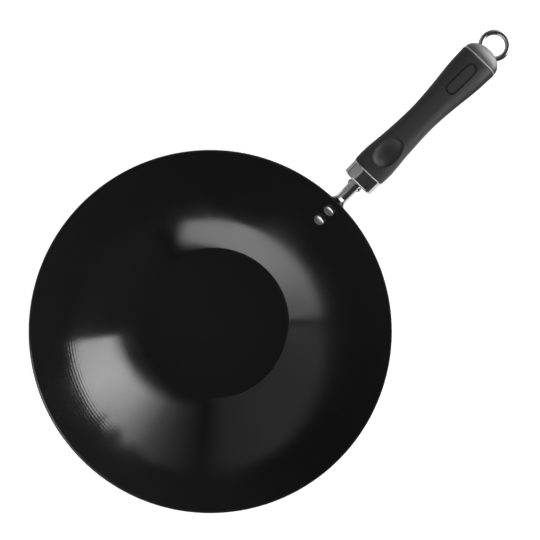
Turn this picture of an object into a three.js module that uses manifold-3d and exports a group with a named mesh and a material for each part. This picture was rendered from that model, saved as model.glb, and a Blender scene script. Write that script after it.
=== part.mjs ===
// Flat-bottomed wok: pressed bowl, riveted channel bracket, bolted moulded grip, end cap and hanging ring.
// Millimetres, +Z up. The origin is the centre of the base's underside and the handle points along +X.
import * as THREE from 'three';
import { mergeVertices } from 'three/addons/utils/BufferGeometryUtils.js';
import Module from 'manifold-3d';

// Clearances
const SEAT_GAP = 0.3;
const RIVET_SEAT_GAP = 0.4;
const SHANK_CLEARANCE = 0.3;

// Bowl
const RIM_DIAMETER = 356;
const BOWL_DEPTH = 95;
const BOWL_SHEET = 1.6;
const BASE_DIAMETER = 157;
const BASE_FILLET = 14;
const WALL_SWEEP_RADIUS = 236;

// Rivets, placed along the wall from the rim
const RIVET_DROP = 15.5;
const RIVET_PITCH = 20;
const RIVET_SHANK = 5;
const RIVET_HEAD = 11.5;
const RIVET_HEAD_EDGE = 0.7;
const RIVET_HEAD_CROWN = 2.1;
const RIVET_TAIL = 8.4;
const RIVET_TAIL_HEIGHT = 1.8;

// Bracket
const BRACKET_SHEET = 1.5;
const PLATE_TOP_DROP = 4;
const PLATE_WIDTH = 26;
const PLATE_CORNER = 4;
const PLATE_SHOULDER = 7;
const PLATE_TIP_RADIUS = 8.5;
const NECK_REACH = 26.7;
const NECK_WIDTH = 11.9;
const NECK_CROWN = 5.95;
const NECK_SKIRT = 4.5;
const FLARE_LENGTH = 8;
const FLARE_SPREAD = 6;
const EAR_RADIUS = 3.4;
const EAR_SPACING = 9.4;
const EAR_SKIRT = 4;
const TANG_LENGTH = 45;

// Handle line: its rise from level and the height of the ferrule's front centre over the rim
const HANDLE_RISE = 15;
const FERRULE_LIFT = -0.63;

// Ferrule
const FERRULE_LENGTH = 15.4;
const FERRULE_WIDTH = 34.5;
const FERRULE_HEIGHT = 25.4;
const FERRULE_WALL = 1;
const FERRULE_EDGE = 2;

// Grip: widths and heights at stations measured from its front end
const GRIP_LENGTH = 141;
const GRIP_FRONT_WIDTH = 35.7;
const GRIP_FRONT_HEIGHT = 26.4;
const GRIP_SHOULDER_AT = 15;
const GRIP_SHOULDER_WIDTH = 35.75;
const GRIP_SHOULDER_HEIGHT = 26.4;
const GRIP_FLANK_AT = 38;
const GRIP_FLANK_WIDTH = 31.3;
const GRIP_FLANK_HEIGHT = 23.6;
const GRIP_WAIST_AT = 70;
const GRIP_WAIST_WIDTH = 28.25;
const GRIP_WAIST_HEIGHT = 22;
const GRIP_SWELL_FROM_REAR = 44;
const GRIP_SWELL_WIDTH = 31.55;
const GRIP_SWELL_HEIGHT = 23.8;
const GRIP_HEEL_FROM_REAR = 21;
const GRIP_HEEL_WIDTH = 36.5;
const GRIP_HEEL_HEIGHT = 26.8;
const GRIP_REAR_WIDTH = 38.5;
const GRIP_REAR_HEIGHT = 28;
const GRIP_SQUARENESS = 2.4;

// Thumb dish and bare stadium recess on the grip's top
const THUMB_AT = 26;
const THUMB_FRONT = 13.5;
const THUMB_REAR = 19.5;
const THUMB_SPREAD = 29;
const THUMB_DEPTH = 3.2;
const PLAQUE_FROM_REAR = 22.8;
const PLAQUE_LENGTH = 33.6;
const PLAQUE_WIDTH = 11.4;
const PLAQUE_DEPTH = 0.9;

// Tie bolt, washers and the nut block in the channel
const BOLT_SHANK = 5;
const BOLT_HEAD = 9.4;
const BOLT_HEAD_HEIGHT = 3.2;
const BOLT_THREAD_PAST_NUT = 1;
const FLAT_WASHER = 11;
const FLAT_WASHER_SHEET = 1;
const SPRING_WASHER = 9;
const SPRING_WASHER_SHEET = 1.3;
const SPRING_WASHER_SPLIT = 1;
const NUT_LENGTH = 14;
const NUT_SKIRT = 4;
const WELL_DIAMETER = 12;
const WELL_DEPTH = 30;
const POCKET_PAST_TANG = 1;

// End cap
const CAP_LIP = 1;
const CAP_LIP_WIDTH = 38;
const CAP_LIP_HEIGHT = 27.4;
const DOME_WIDTH = 37.4;
const DOME_HEIGHT = 26.8;
const DOME_LENGTH = 12.4;
const DOME_TIP_ANGLE = 84;
const SPIGOT_LENGTH = 13;

// Hanging ring: it turns on its short flat side, which runs through the cap
const RING_DIAMETER = 29.9;
const RING_WIRE = 5;
const RING_FLAT_FROM_CENTRE = 11;
const RING_CORNER = 1.6;
const RING_BUTT_GAP = 0.4;
const RING_HINGE_FROM_TIP = 4.6;
const RING_DROOP = 15;

// Facet counts
const BOWL_SEGMENTS = 72;
const WALL_STEPS = 10;
const FILLET_STEPS = 3;
const NOSE_STEPS = 4;
const ROUND_SEGMENTS = 24;
const SECTION_POINTS = 36;
const GRIP_STATIONS = 20;
const ARCH_STEPS = 10;
const FLARE_STATIONS = 5;
const DOME_STATIONS = 7;
const EDGE_STATIONS = 4;
const RING_STEPS = 56;
const WIRE_HALF_SIDES = 5;
const CUT_MARGIN = 5;
const MERGE_DISTANCE = 0.0001;

const wasm = await Module();
wasm.setup();

const radians = THREE.MathUtils.degToRad;
const RIM_RADIUS = RIM_DIAMETER / 2;
const BASE_RADIUS = BASE_DIAMETER / 2;
const GRIP_FRONT = FERRULE_LENGTH + SEAT_GAP;
const GRIP_REAR = GRIP_FRONT + GRIP_LENGTH;
const CAP_FRONT = GRIP_REAR + SEAT_GAP;
const DOME_FRONT = CAP_FRONT + CAP_LIP;
const CAP_TIP = DOME_FRONT + DOME_LENGTH;
const RING_HINGE = CAP_TIP - RING_HINGE_FROM_TIP;

// Solids from closed meshes, and meshes from solids

function solid(geometry) {
  const bare = geometry.index ? geometry.clone() : geometry;
  bare.deleteAttribute('normal');
  bare.deleteAttribute('uv');
  const merged = mergeVertices(bare, MERGE_DISTANCE);
  return new wasm.Manifold(new wasm.Mesh({
    numProp: 3,
    vertProperties: new Float32Array(merged.attributes.position.array),
    triVerts: new Uint32Array(merged.index.array),
  }));
}

function geometryOf(body) {
  const mesh = body.getMesh();
  const geometry = new THREE.BufferGeometry();
  geometry.setAttribute('position', new THREE.BufferAttribute(new Float32Array(mesh.vertProperties), 3));
  geometry.setIndex(new THREE.BufferAttribute(new Uint32Array(mesh.triVerts), 1));
  geometry.computeVertexNormals();
  return geometry;
}

// A turned form: the profile holds (radius, height) points, up its outer side and down its inner side
function turned(profile, segments = ROUND_SEGMENTS) {
  return new THREE.LatheGeometry(profile, segments).rotateX(Math.PI / 2);
}

// A round bar along +X
function barAlongX(radius, start, end) {
  return new THREE.CylinderGeometry(radius, radius, end - start, ROUND_SEGMENTS)
    .rotateZ(-Math.PI / 2)
    .translate((start + end) / 2, 0, 0);
}

// A skin through rings of points that run anticlockwise about the direction of travel, with flat ends
function loft(rings) {
  const count = rings[0].length;
  const positions = rings.flat().flatMap((point) => [point.x, point.y, point.z]);
  const index = [];
  for (let ring = 0; ring + 1 < rings.length; ring += 1) {
    for (let step = 0; step < count; step += 1) {
      const here = ring * count + step;
      const beside = ring * count + (step + 1) % count;
      index.push(here, beside, here + count, beside, beside + count, here + count);
    }
  }
  const outline = rings[0].map((point) => new THREE.Vector2(point.y, point.z));
  const last = (rings.length - 1) * count;
  for (const [a, b, c] of THREE.ShapeUtils.triangulateShape(outline, [])) {
    index.push(a, c, b, last + a, last + b, last + c);
  }
  const geometry = new THREE.BufferGeometry();
  geometry.setAttribute('position', new THREE.Float32BufferAttribute(positions, 3));
  geometry.setIndex(index);
  return geometry;
}

// A rounded oval section across the handle
function ovalRing(at, width, height) {
  const power = 2 / GRIP_SQUARENESS;
  return Array.from({ length: SECTION_POINTS }, (_, step) => {
    const turn = (step / SECTION_POINTS) * 2 * Math.PI;
    const across = Math.sign(Math.cos(turn)) * Math.abs(Math.cos(turn)) ** power;
    const up = Math.sign(Math.sin(turn)) * Math.abs(Math.sin(turn)) ** power;
    return new THREE.Vector3(at, (across * width) / 2, (up * height) / 2);
  });
}

// Points of an arch from its right foot over the crown to its left foot
function archPoints(halfWidth, crown, skirt) {
  const points = [new THREE.Vector2(halfWidth, -skirt)];
  for (let step = 0; step <= ARCH_STEPS; step += 1) {
    const turn = (step / ARCH_STEPS) * Math.PI;
    points.push(new THREE.Vector2(halfWidth * Math.cos(turn), crown * Math.sin(turn)));
  }
  points.push(new THREE.Vector2(-halfWidth, -skirt));
  return points;
}

// A filled arch section, run along the handle
function archBar(halfWidth, crown, skirt, start, end) {
  const rings = [start, end].map((at) =>
    archPoints(halfWidth, crown, skirt).map((point) => new THREE.Vector3(at, point.x, point.y)));
  return loft(rings);
}

// Bowl section: a flat floor, a fillet and one long arc up to the rim, all on the sheet's middle surface

function bowlArcs() {
  const half = BOWL_SHEET / 2;
  const fillet = new THREE.Vector2(BASE_RADIUS, half + BASE_FILLET);
  const rim = new THREE.Vector2(RIM_RADIUS - half, BOWL_DEPTH - half);
  const between = rim.clone().sub(fillet);
  const reach = WALL_SWEEP_RADIUS - BASE_FILLET;
  const along = (reach ** 2 - WALL_SWEEP_RADIUS ** 2 + between.lengthSq()) / (2 * between.length());
  const aside = Math.sqrt(reach ** 2 - along ** 2);
  const unit = between.clone().normalize();
  const sweep = new THREE.Vector2(
    fillet.x + unit.x * along - unit.y * aside,
    fillet.y + unit.y * along + unit.x * aside,
  );
  const slopeTo = (point) => Math.atan2(point.x - sweep.x, sweep.y - point.y);
  return { fillet, sweep, wallStart: slopeTo(fillet), wallEnd: slopeTo(rim) };
}

const ARCS = bowlArcs();

function onArc(centre, radius, slope) {
  return new THREE.Vector2(centre.x + radius * Math.sin(slope), centre.y - radius * Math.cos(slope));
}

// A point of the wall at a slope, moved outwards from the sheet's middle surface
function wallPoint(slope, offset) {
  return onArc(ARCS.sweep, WALL_SWEEP_RADIUS + offset, slope);
}

function wallSlopeAt(drop) {
  return ARCS.wallEnd - drop / WALL_SWEEP_RADIUS;
}

function wallRun(from, to, offset) {
  return Array.from({ length: WALL_STEPS + 1 }, (_, step) =>
    wallPoint(THREE.MathUtils.lerp(from, to, step / WALL_STEPS), offset));
}

function filletRun(offset) {
  return Array.from({ length: FILLET_STEPS }, (_, step) =>
    onArc(ARCS.fillet, BASE_FILLET + offset, (ARCS.wallStart * step) / FILLET_STEPS));
}

function rimNose() {
  const half = BOWL_SHEET / 2;
  const centre = wallPoint(ARCS.wallEnd, 0);
  return Array.from({ length: NOSE_STEPS - 1 }, (_, step) => {
    const turn = ARCS.wallEnd + ((step + 1) / NOSE_STEPS) * Math.PI;
    return onArc(centre, half, turn);
  });
}

// A frame on the wall: its origin at an offset from the middle surface and its +Z along the inward normal
function wallFrame(drop, offset) {
  const slope = wallSlopeAt(drop);
  const point = wallPoint(slope, offset);
  const frame = new THREE.Matrix4().makeRotationY(-slope);
  return frame.setPosition(point.x, 0, point.y);
}

const RIVET_DROPS = [RIVET_DROP, RIVET_DROP + RIVET_PITCH];

function rivetHole(drop) {
  const length = 2 * (BOWL_SHEET + BRACKET_SHEET + CUT_MARGIN);
  const bar = new THREE.CylinderGeometry(
    RIVET_SHANK / 2 + SHANK_CLEARANCE, RIVET_SHANK / 2 + SHANK_CLEARANCE, length, ROUND_SEGMENTS,
  ).rotateX(Math.PI / 2);
  return solid(bar.applyMatrix4(wallFrame(drop, 0)));
}

function riveted(body) {
  return RIVET_DROPS.map(rivetHole).reduce((rest, hole) => rest.subtract(hole), body);
}

function bowlGeometry() {
  const half = BOWL_SHEET / 2;
  const outer = [...filletRun(half), ...wallRun(ARCS.wallStart, ARCS.wallEnd, half)];
  const inner = [...filletRun(-half), ...wallRun(ARCS.wallStart, ARCS.wallEnd, -half)].reverse();
  const floor = new THREE.Vector2(0, BOWL_SHEET);
  const profile = [new THREE.Vector2(0, 0), ...outer, ...rimNose(), ...inner, floor];
  return geometryOf(riveted(solid(turned(profile, BOWL_SEGMENTS))));
}

// Rivet: domed head inside the bowl and flat tail on the plate, with z = 0 on the bowl's inner face
function rivetGeometry() {
  const shank = RIVET_SHANK / 2;
  const head = RIVET_HEAD / 2;
  const tail = RIVET_TAIL / 2;
  const tailFace = -(BOWL_SHEET + SEAT_GAP + BRACKET_SHEET + RIVET_SEAT_GAP);
  const headEdge = RIVET_SEAT_GAP + RIVET_HEAD_EDGE;
  const profile = [
    new THREE.Vector2(0, tailFace - RIVET_TAIL_HEIGHT),
    new THREE.Vector2(tail / 2, tailFace - RIVET_TAIL_HEIGHT),
    new THREE.Vector2(tail, tailFace - RIVET_TAIL_HEIGHT / 2),
    new THREE.Vector2(tail, tailFace),
    new THREE.Vector2(shank, tailFace),
    new THREE.Vector2(shank, RIVET_SEAT_GAP),
    new THREE.Vector2(head, RIVET_SEAT_GAP),
    ...Array.from({ length: EDGE_STATIONS }, (_, step) => {
      const turn = (step / EDGE_STATIONS) * (Math.PI / 2);
      return new THREE.Vector2(head * Math.cos(turn), headEdge + RIVET_HEAD_CROWN * Math.sin(turn));
    }),
    new THREE.Vector2(0, headEdge + RIVET_HEAD_CROWN),
  ];
  return turned(profile);
}

// Handle frame: origin at the ferrule's front centre, +X along the handle
const HANDLE_FRAME = new THREE.Matrix4()
  .makeRotationY(-radians(HANDLE_RISE))
  .setPosition(RIM_RADIUS + NECK_REACH, 0, BOWL_DEPTH + FERRULE_LIFT);

// Where the handle's line meets the wall's outer face, measured along the handle from the ferrule's front
function neckRoot() {
  const radius = WALL_SWEEP_RADIUS + BOWL_SHEET / 2;
  const start = new THREE.Vector2(RIM_RADIUS + NECK_REACH, BOWL_DEPTH + FERRULE_LIFT).sub(ARCS.sweep);
  const direction = new THREE.Vector2(Math.cos(radians(HANDLE_RISE)), Math.sin(radians(HANDLE_RISE)));
  const along = start.dot(direction);
  return -along + Math.sqrt(along ** 2 - start.lengthSq() + radius ** 2);
}

// One channel section: the outer arch and back along the inner one
function channelRing(at, halfWidth) {
  const outer = archPoints(halfWidth, NECK_CROWN, NECK_SKIRT);
  const inner = archPoints(halfWidth - BRACKET_SHEET, NECK_CROWN - BRACKET_SHEET, NECK_SKIRT).reverse();
  return [...outer, ...inner].map((point) => new THREE.Vector3(at, point.x, point.y));
}

// The channel neck and tang, its root spread like a foot where it meets the wall
function channelGeometry() {
  const straight = NECK_WIDTH / 2;
  const root = neckRoot();
  const spread = Array.from({ length: FLARE_STATIONS + 1 }, (_, step) => {
    const share = 1 - step / FLARE_STATIONS;
    const widening = FLARE_SPREAD * (1 - Math.sqrt(1 - share ** 2));
    return channelRing(root + FLARE_LENGTH / 2 + FLARE_LENGTH * (1 - share), straight + widening);
  });
  const inside = channelRing(root - NECK_SKIRT - CUT_MARGIN, straight + FLARE_SPREAD);
  return loft([inside, ...spread, channelRing(TANG_LENGTH, straight)]);
}

// Everything inside the bowl's outer face, out to an offset from it
function bowlEnvelope(offset) {
  const wall = wallRun(ARCS.wallStart, ARCS.wallEnd, BOWL_SHEET / 2 + offset);
  const top = wall[wall.length - 1];
  const profile = [
    new THREE.Vector2(0, wall[0].y),
    ...wall,
    new THREE.Vector2(top.x, BOWL_DEPTH + NECK_CROWN + CUT_MARGIN),
    new THREE.Vector2(0, BOWL_DEPTH + NECK_CROWN + CUT_MARGIN),
  ];
  return solid(turned(profile, BOWL_SEGMENTS));
}

// The plate's outline on the wall, wide at the neck and round below the lower rivet
function plateOutline() {
  const top = RIVET_PITCH + RIVET_DROP - PLATE_TOP_DROP;
  const half = PLATE_WIDTH / 2;
  const tip = PLATE_TIP_RADIUS;
  const outline = new THREE.Shape();
  outline.absarc(top - PLATE_CORNER, half - PLATE_CORNER, PLATE_CORNER, 0, Math.PI / 2, false);
  outline.lineTo(top - PLATE_SHOULDER, half);
  outline.bezierCurveTo(RIVET_PITCH, half, RIVET_PITCH, tip, 0, tip);
  outline.absarc(0, 0, tip, Math.PI / 2, (3 * Math.PI) / 2, false);
  outline.bezierCurveTo(RIVET_PITCH, -tip, RIVET_PITCH, -half, top - PLATE_SHOULDER, -half);
  outline.absarc(top - PLATE_CORNER, PLATE_CORNER - half, PLATE_CORNER, -Math.PI / 2, 0, false);
  return outline;
}

// The plate lies along the wall at the seat gap: a shell of the bowl's own turned form, cut to the outline
function plateSolid() {
  const inner = BOWL_SHEET / 2 + SEAT_GAP;
  const shell = [
    ...wallRun(ARCS.wallStart, ARCS.wallEnd, inner + BRACKET_SHEET),
    ...wallRun(ARCS.wallStart, ARCS.wallEnd, inner).reverse(),
  ];
  const depth = 2 * (BRACKET_SHEET + CUT_MARGIN);
  const prism = new THREE.ExtrudeGeometry(plateOutline(), {
    depth, bevelEnabled: false, curveSegments: ARCH_STEPS,
  });
  prism.translate(0, 0, -depth / 2).applyMatrix4(wallFrame(RIVET_DROP + RIVET_PITCH, inner));
  return solid(turned([...shell, shell[0]], BOWL_SEGMENTS)).intersect(solid(prism));
}

// A rounded stop lug beside the neck, just in front of the ferrule
function earSolid(side) {
  const dome = Array.from({ length: EDGE_STATIONS }, (_, step) => {
    const turn = (step / EDGE_STATIONS) * (Math.PI / 2);
    return new THREE.Vector2(EAR_RADIUS * Math.cos(turn), EAR_RADIUS * Math.sin(turn));
  });
  const profile = [
    new THREE.Vector2(0, -EAR_SKIRT),
    new THREE.Vector2(EAR_RADIUS, -EAR_SKIRT),
    ...dome,
    new THREE.Vector2(0, EAR_RADIUS),
  ];
  return solid(turned(profile).translate(-(EAR_RADIUS + SEAT_GAP), (side * EAR_SPACING) / 2, 0));
}

function bracketGeometry() {
  const hollow = archBar(
    NECK_WIDTH / 2 - BRACKET_SHEET, NECK_CROWN - BRACKET_SHEET, NECK_SKIRT + EAR_SKIRT,
    neckRoot(), TANG_LENGTH,
  );
  const ears = earSolid(1).add(earSolid(-1)).subtract(solid(hollow));
  const channel = solid(channelGeometry()).add(ears);
  const placed = solid(geometryOf(channel).applyMatrix4(HANDLE_FRAME));
  const neck = placed.subtract(bowlEnvelope(SEAT_GAP + BRACKET_SHEET / 2));
  return geometryOf(riveted(neck.add(plateSolid())));
}

// The opening that lets the channel through the ferrule and into the grip
function tangPassage(start, end) {
  return solid(archBar(
    NECK_WIDTH / 2 + SEAT_GAP, NECK_CROWN + SEAT_GAP, NECK_SKIRT + SEAT_GAP, start, end,
  ));
}

function ferruleGeometry() {
  const edge = Array.from({ length: EDGE_STATIONS }, (_, step) => {
    const turn = (step / EDGE_STATIONS) * (Math.PI / 2);
    const inset = 2 * FERRULE_EDGE * (1 - Math.sin(turn));
    return ovalRing(FERRULE_EDGE * (1 - Math.cos(turn)), FERRULE_WIDTH - inset, FERRULE_HEIGHT - inset);
  });
  const outer = [...edge, ...[FERRULE_EDGE, FERRULE_LENGTH].map((at) =>
    ovalRing(at, FERRULE_WIDTH, FERRULE_HEIGHT))];
  const straightFrom = FERRULE_EDGE + FERRULE_WALL;
  const inner = [FERRULE_WALL, straightFrom, FERRULE_LENGTH + CUT_MARGIN].map((at) => {
    const inset = 2 * Math.max(FERRULE_WALL, straightFrom + FERRULE_WALL - at);
    return ovalRing(at, FERRULE_WIDTH - inset, FERRULE_HEIGHT - inset);
  });
  const cup = solid(loft(outer)).subtract(solid(loft(inner)));
  return geometryOf(cup.subtract(tangPassage(-CUT_MARGIN, FERRULE_LENGTH)));
}

// Half sizes of the grip along its length, as smooth curves through its stations
function gripCurve(sizes) {
  const stations = [
    0, GRIP_SHOULDER_AT, GRIP_FLANK_AT, GRIP_WAIST_AT,
    GRIP_LENGTH - GRIP_SWELL_FROM_REAR, GRIP_LENGTH - GRIP_HEEL_FROM_REAR, GRIP_LENGTH,
  ];
  return new THREE.SplineCurve(stations.map((at, place) => new THREE.Vector2(at, sizes[place])));
}

const GRIP_WIDTHS = gripCurve([
  GRIP_FRONT_WIDTH, GRIP_SHOULDER_WIDTH, GRIP_FLANK_WIDTH, GRIP_WAIST_WIDTH,
  GRIP_SWELL_WIDTH, GRIP_HEEL_WIDTH, GRIP_REAR_WIDTH,
]);
const GRIP_HEIGHTS = gripCurve([
  GRIP_FRONT_HEIGHT, GRIP_SHOULDER_HEIGHT, GRIP_FLANK_HEIGHT, GRIP_WAIST_HEIGHT,
  GRIP_SWELL_HEIGHT, GRIP_HEEL_HEIGHT, GRIP_REAR_HEIGHT,
]);

// The grip's skin, drawn in by an inset on every side
function gripSkin(inset) {
  const rings = Array.from({ length: GRIP_STATIONS + 1 }, (_, step) => {
    const width = GRIP_WIDTHS.getPoint(step / GRIP_STATIONS);
    const height = GRIP_HEIGHTS.getPoint(step / GRIP_STATIONS);
    return ovalRing(GRIP_FRONT + width.x, width.y - 2 * inset, height.y - 2 * inset);
  });
  return solid(loft(rings));
}

// An egg-shaped cutter, blunt towards the ferrule, that leaves the thumb dish
function thumbCutter() {
  const egg = new THREE.SphereGeometry(1, ROUND_SEGMENTS, ROUND_SEGMENTS / 2);
  const places = egg.attributes.position;
  for (let point = 0; point < places.count; point += 1) {
    const along = places.getX(point);
    places.setXYZ(
      point,
      along * (along > 0 ? THUMB_REAR : THUMB_FRONT),
      (places.getY(point) * THUMB_SPREAD) / 2,
      places.getZ(point) * THUMB_DEPTH,
    );
  }
  const crown = GRIP_SHOULDER_HEIGHT / 2;
  return solid(egg.translate(GRIP_FRONT + THUMB_AT, 0, crown));
}

// A stadium cutter whose floor lies parallel to the grip's skin
function plaqueCutter() {
  const radius = PLAQUE_WIDTH / 2;
  const half = PLAQUE_LENGTH / 2 - radius;
  const outline = new THREE.Shape();
  outline.absarc(half, 0, radius, -Math.PI / 2, Math.PI / 2, false);
  outline.absarc(-half, 0, radius, Math.PI / 2, (3 * Math.PI) / 2, false);
  const prism = new THREE.ExtrudeGeometry(outline, {
    depth: GRIP_REAR_HEIGHT, bevelEnabled: false, curveSegments: ARCH_STEPS,
  });
  return solid(prism.translate(GRIP_REAR - PLAQUE_FROM_REAR, 0, 0)).subtract(gripSkin(PLAQUE_DEPTH));
}

function gripGeometry() {
  const spigotInset = 2 * (FERRULE_WALL + SEAT_GAP);
  const spigotFront = FERRULE_EDGE + FERRULE_WALL + SEAT_GAP;
  const spigot = solid(loft([spigotFront, GRIP_FRONT + CUT_MARGIN].map((at) =>
    ovalRing(at, FERRULE_WIDTH - spigotInset, FERRULE_HEIGHT - spigotInset))));
  const pocketEnd = TANG_LENGTH + POCKET_PAST_TANG;
  const bore = solid(barAlongX(BOLT_SHANK / 2 + SHANK_CLEARANCE, pocketEnd - CUT_MARGIN, GRIP_REAR));
  const well = solid(barAlongX(WELL_DIAMETER / 2, GRIP_REAR - WELL_DEPTH, GRIP_REAR + CUT_MARGIN));
  const body = gripSkin(0).add(spigot).subtract(thumbCutter()).subtract(plaqueCutter());
  return geometryOf(body.subtract(tangPassage(0, pocketEnd)).subtract(bore).subtract(well));
}

// Bolt stack, from the well's floor to the head
const WELL_FLOOR = GRIP_REAR - WELL_DEPTH;
const FLAT_WASHER_AT = WELL_FLOOR + SEAT_GAP;
const SPRING_WASHER_AT = FLAT_WASHER_AT + FLAT_WASHER_SHEET + SEAT_GAP;
const BOLT_HEAD_AT = SPRING_WASHER_AT + SPRING_WASHER_SHEET + SEAT_GAP;
const NUT_AT = TANG_LENGTH - NUT_LENGTH;

function boltGeometry() {
  const shank = BOLT_SHANK / 2;
  const head = BOLT_HEAD / 2;
  const end = NUT_AT - BOLT_THREAD_PAST_NUT;
  const profile = [
    new THREE.Vector2(0, end),
    new THREE.Vector2(shank / 2, end),
    new THREE.Vector2(shank, end + shank / 2),
    new THREE.Vector2(shank, BOLT_HEAD_AT),
    new THREE.Vector2(head, BOLT_HEAD_AT),
    new THREE.Vector2(head, BOLT_HEAD_AT + BOLT_HEAD_HEIGHT / 2),
    new THREE.Vector2(head / 2, BOLT_HEAD_AT + BOLT_HEAD_HEIGHT),
    new THREE.Vector2(0, BOLT_HEAD_AT + BOLT_HEAD_HEIGHT),
  ];
  return turned(profile).rotateY(Math.PI / 2);
}

function washer(diameter, sheet, at) {
  const hole = BOLT_SHANK / 2 + SHANK_CLEARANCE;
  const disc = solid(barAlongX(diameter / 2, at, at + sheet));
  return disc.subtract(solid(barAlongX(hole, at - CUT_MARGIN, at + sheet + CUT_MARGIN)));
}

function flatWasherGeometry() {
  return geometryOf(washer(FLAT_WASHER, FLAT_WASHER_SHEET, FLAT_WASHER_AT));
}

function springWasherGeometry() {
  const split = new THREE.BoxGeometry(SPRING_WASHER, SPRING_WASHER_SPLIT, SPRING_WASHER)
    .translate(SPRING_WASHER_AT, 0, SPRING_WASHER / 2);
  return geometryOf(washer(SPRING_WASHER, SPRING_WASHER_SHEET, SPRING_WASHER_AT).subtract(solid(split)));
}

// A block that fills the channel's end and takes the bolt
function nutGeometry() {
  const inset = BRACKET_SHEET + SEAT_GAP;
  const block = archBar(NECK_WIDTH / 2 - inset, NECK_CROWN - inset, NUT_SKIRT, NUT_AT, TANG_LENGTH);
  const thread = barAlongX(BOLT_SHANK / 2 + SHANK_CLEARANCE, NUT_AT - CUT_MARGIN, TANG_LENGTH + CUT_MARGIN);
  return geometryOf(solid(block).subtract(solid(thread)));
}

// Ring sizes on the wire's centre line
const RING_RADIUS = (RING_DIAMETER - RING_WIRE) / 2;
const RING_HALF_FLAT = Math.sqrt(RING_RADIUS ** 2 - RING_FLAT_FROM_CENTRE ** 2);

// The space that the ring's wire sweeps about its flat side, for the leg on one side of the handle
function legSweep(side) {
  const clear = RING_WIRE / 2 + SEAT_GAP;
  const reach = RING_HINGE_FROM_TIP + CUT_MARGIN;
  const swing = radians(RING_DROOP);
  const across = (radius, from) => Math.sqrt(radius ** 2 - (RING_FLAT_FROM_CENTRE - from) ** 2);
  const arc = (radius, first) => Array.from({ length: ARCH_STEPS + 1 }, (_, step) => {
    const from = THREE.MathUtils.lerp(first, reach, step / ARCH_STEPS);
    return new THREE.Vector2(from, across(radius, from));
  });
  const band = [
    new THREE.Vector2(0, 0),
    ...arc(RING_RADIUS - clear, RING_FLAT_FROM_CENTRE - RING_RADIUS + clear),
    ...arc(RING_RADIUS + clear, 0).reverse(),
  ];
  const fan = new THREE.Shape();
  const tipX = reach * Math.cos(swing) - clear * Math.sin(swing);
  const tipY = reach * Math.sin(swing) + clear * Math.cos(swing);
  fan.absarc(0, 0, clear, swing + Math.PI / 2, (3 * Math.PI) / 2 - swing, false);
  fan.lineTo(tipX, -tipY);
  fan.lineTo(tipX, tipY);
  const prism = new THREE.ExtrudeGeometry(fan, {
    depth: RING_DIAMETER, bevelEnabled: false, curveSegments: ARCH_STEPS,
  }).rotateX(-Math.PI / 2);
  const sweep = solid(new THREE.LatheGeometry(band, ROUND_SEGMENTS)).intersect(solid(prism));
  return solid(geometryOf(sweep).rotateX(side > 0 ? 0 : Math.PI).translate(RING_HINGE, 0, 0));
}

function capGeometry() {
  const dome = Array.from({ length: DOME_STATIONS + 1 }, (_, step) => {
    const turn = radians((DOME_TIP_ANGLE * step) / DOME_STATIONS);
    const scale = Math.cos(turn);
    return ovalRing(DOME_FRONT + DOME_LENGTH * Math.sin(turn), DOME_WIDTH * scale, DOME_HEIGHT * scale);
  });
  const lip = loft([CAP_FRONT, DOME_FRONT].map((at) => ovalRing(at, CAP_LIP_WIDTH, CAP_LIP_HEIGHT)));
  const spigot = barAlongX(WELL_DIAMETER / 2 - SEAT_GAP, GRIP_REAR - SPIGOT_LENGTH, DOME_FRONT);
  const bore = RING_WIRE / 2 + SEAT_GAP;
  const pivot = new THREE.CylinderGeometry(bore, bore, 2 * RING_HALF_FLAT + RING_WIRE, ROUND_SEGMENTS)
    .translate(RING_HINGE, 0, 0);
  const body = solid(loft(dome)).add(solid(lip)).add(solid(spigot));
  return geometryOf(body.subtract(solid(pivot)).subtract(legSweep(1)).subtract(legSweep(-1)));
}

// A flat path lifted into space, so that a wire can follow it
class FlatPath extends THREE.Curve {
  constructor(path) {
    super();
    this.path = path;
  }

  getPoint(share, target = new THREE.Vector3()) {
    const point = this.path.getPoint(share);
    return target.set(point.x, point.y, 0);
  }
}

// The ring turns about its flat side, the local Y axis; its two ends meet in the middle of that side
function ringGeometry() {
  const corner = Math.asin(RING_HALF_FLAT / RING_RADIUS) + RING_CORNER / RING_RADIUS;
  const path = new THREE.Path();
  path.moveTo(0, -RING_BUTT_GAP / 2);
  path.lineTo(0, RING_CORNER - RING_HALF_FLAT);
  path.quadraticCurveTo(
    0, -RING_HALF_FLAT,
    RING_FLAT_FROM_CENTRE - RING_RADIUS * Math.cos(corner), -RING_RADIUS * Math.sin(corner),
  );
  path.absarc(RING_FLAT_FROM_CENTRE, 0, RING_RADIUS, corner - Math.PI, Math.PI - corner, false);
  path.quadraticCurveTo(0, RING_HALF_FLAT, 0, RING_HALF_FLAT - RING_CORNER);
  path.lineTo(0, RING_BUTT_GAP / 2);
  const section = new THREE.Shape();
  section.absarc(0, 0, RING_WIRE / 2, 0, 2 * Math.PI, false);
  return new THREE.ExtrudeGeometry(section, {
    steps: RING_STEPS, extrudePath: new FlatPath(path), bevelEnabled: false, curveSegments: WIRE_HALF_SIDES,
  });
}

// Finishes
const finish = (color, roughness, metalness) =>
  new THREE.MeshStandardMaterial({ color, roughness, metalness });
const coating = () => finish(0x141414, 0.32, 0);
const chrome = () => finish(0xc8c8c8, 0.08, 1);
const satinSilver = () => finish(0x8c8c8c, 0.4, 1);
const phenolic = () => finish(0x2b2b2b, 0.55, 0);
const zincSteel = () => finish(0x9a9a96, 0.35, 1);

function named(name, geometry, material) {
  const mesh = new THREE.Mesh(geometry, material);
  mesh.name = name;
  return mesh;
}

function rivet(name, drop) {
  const mesh = named(name, rivetGeometry(), chrome());
  mesh.applyMatrix4(wallFrame(drop, -BOWL_SHEET / 2));
  return mesh;
}

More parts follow.
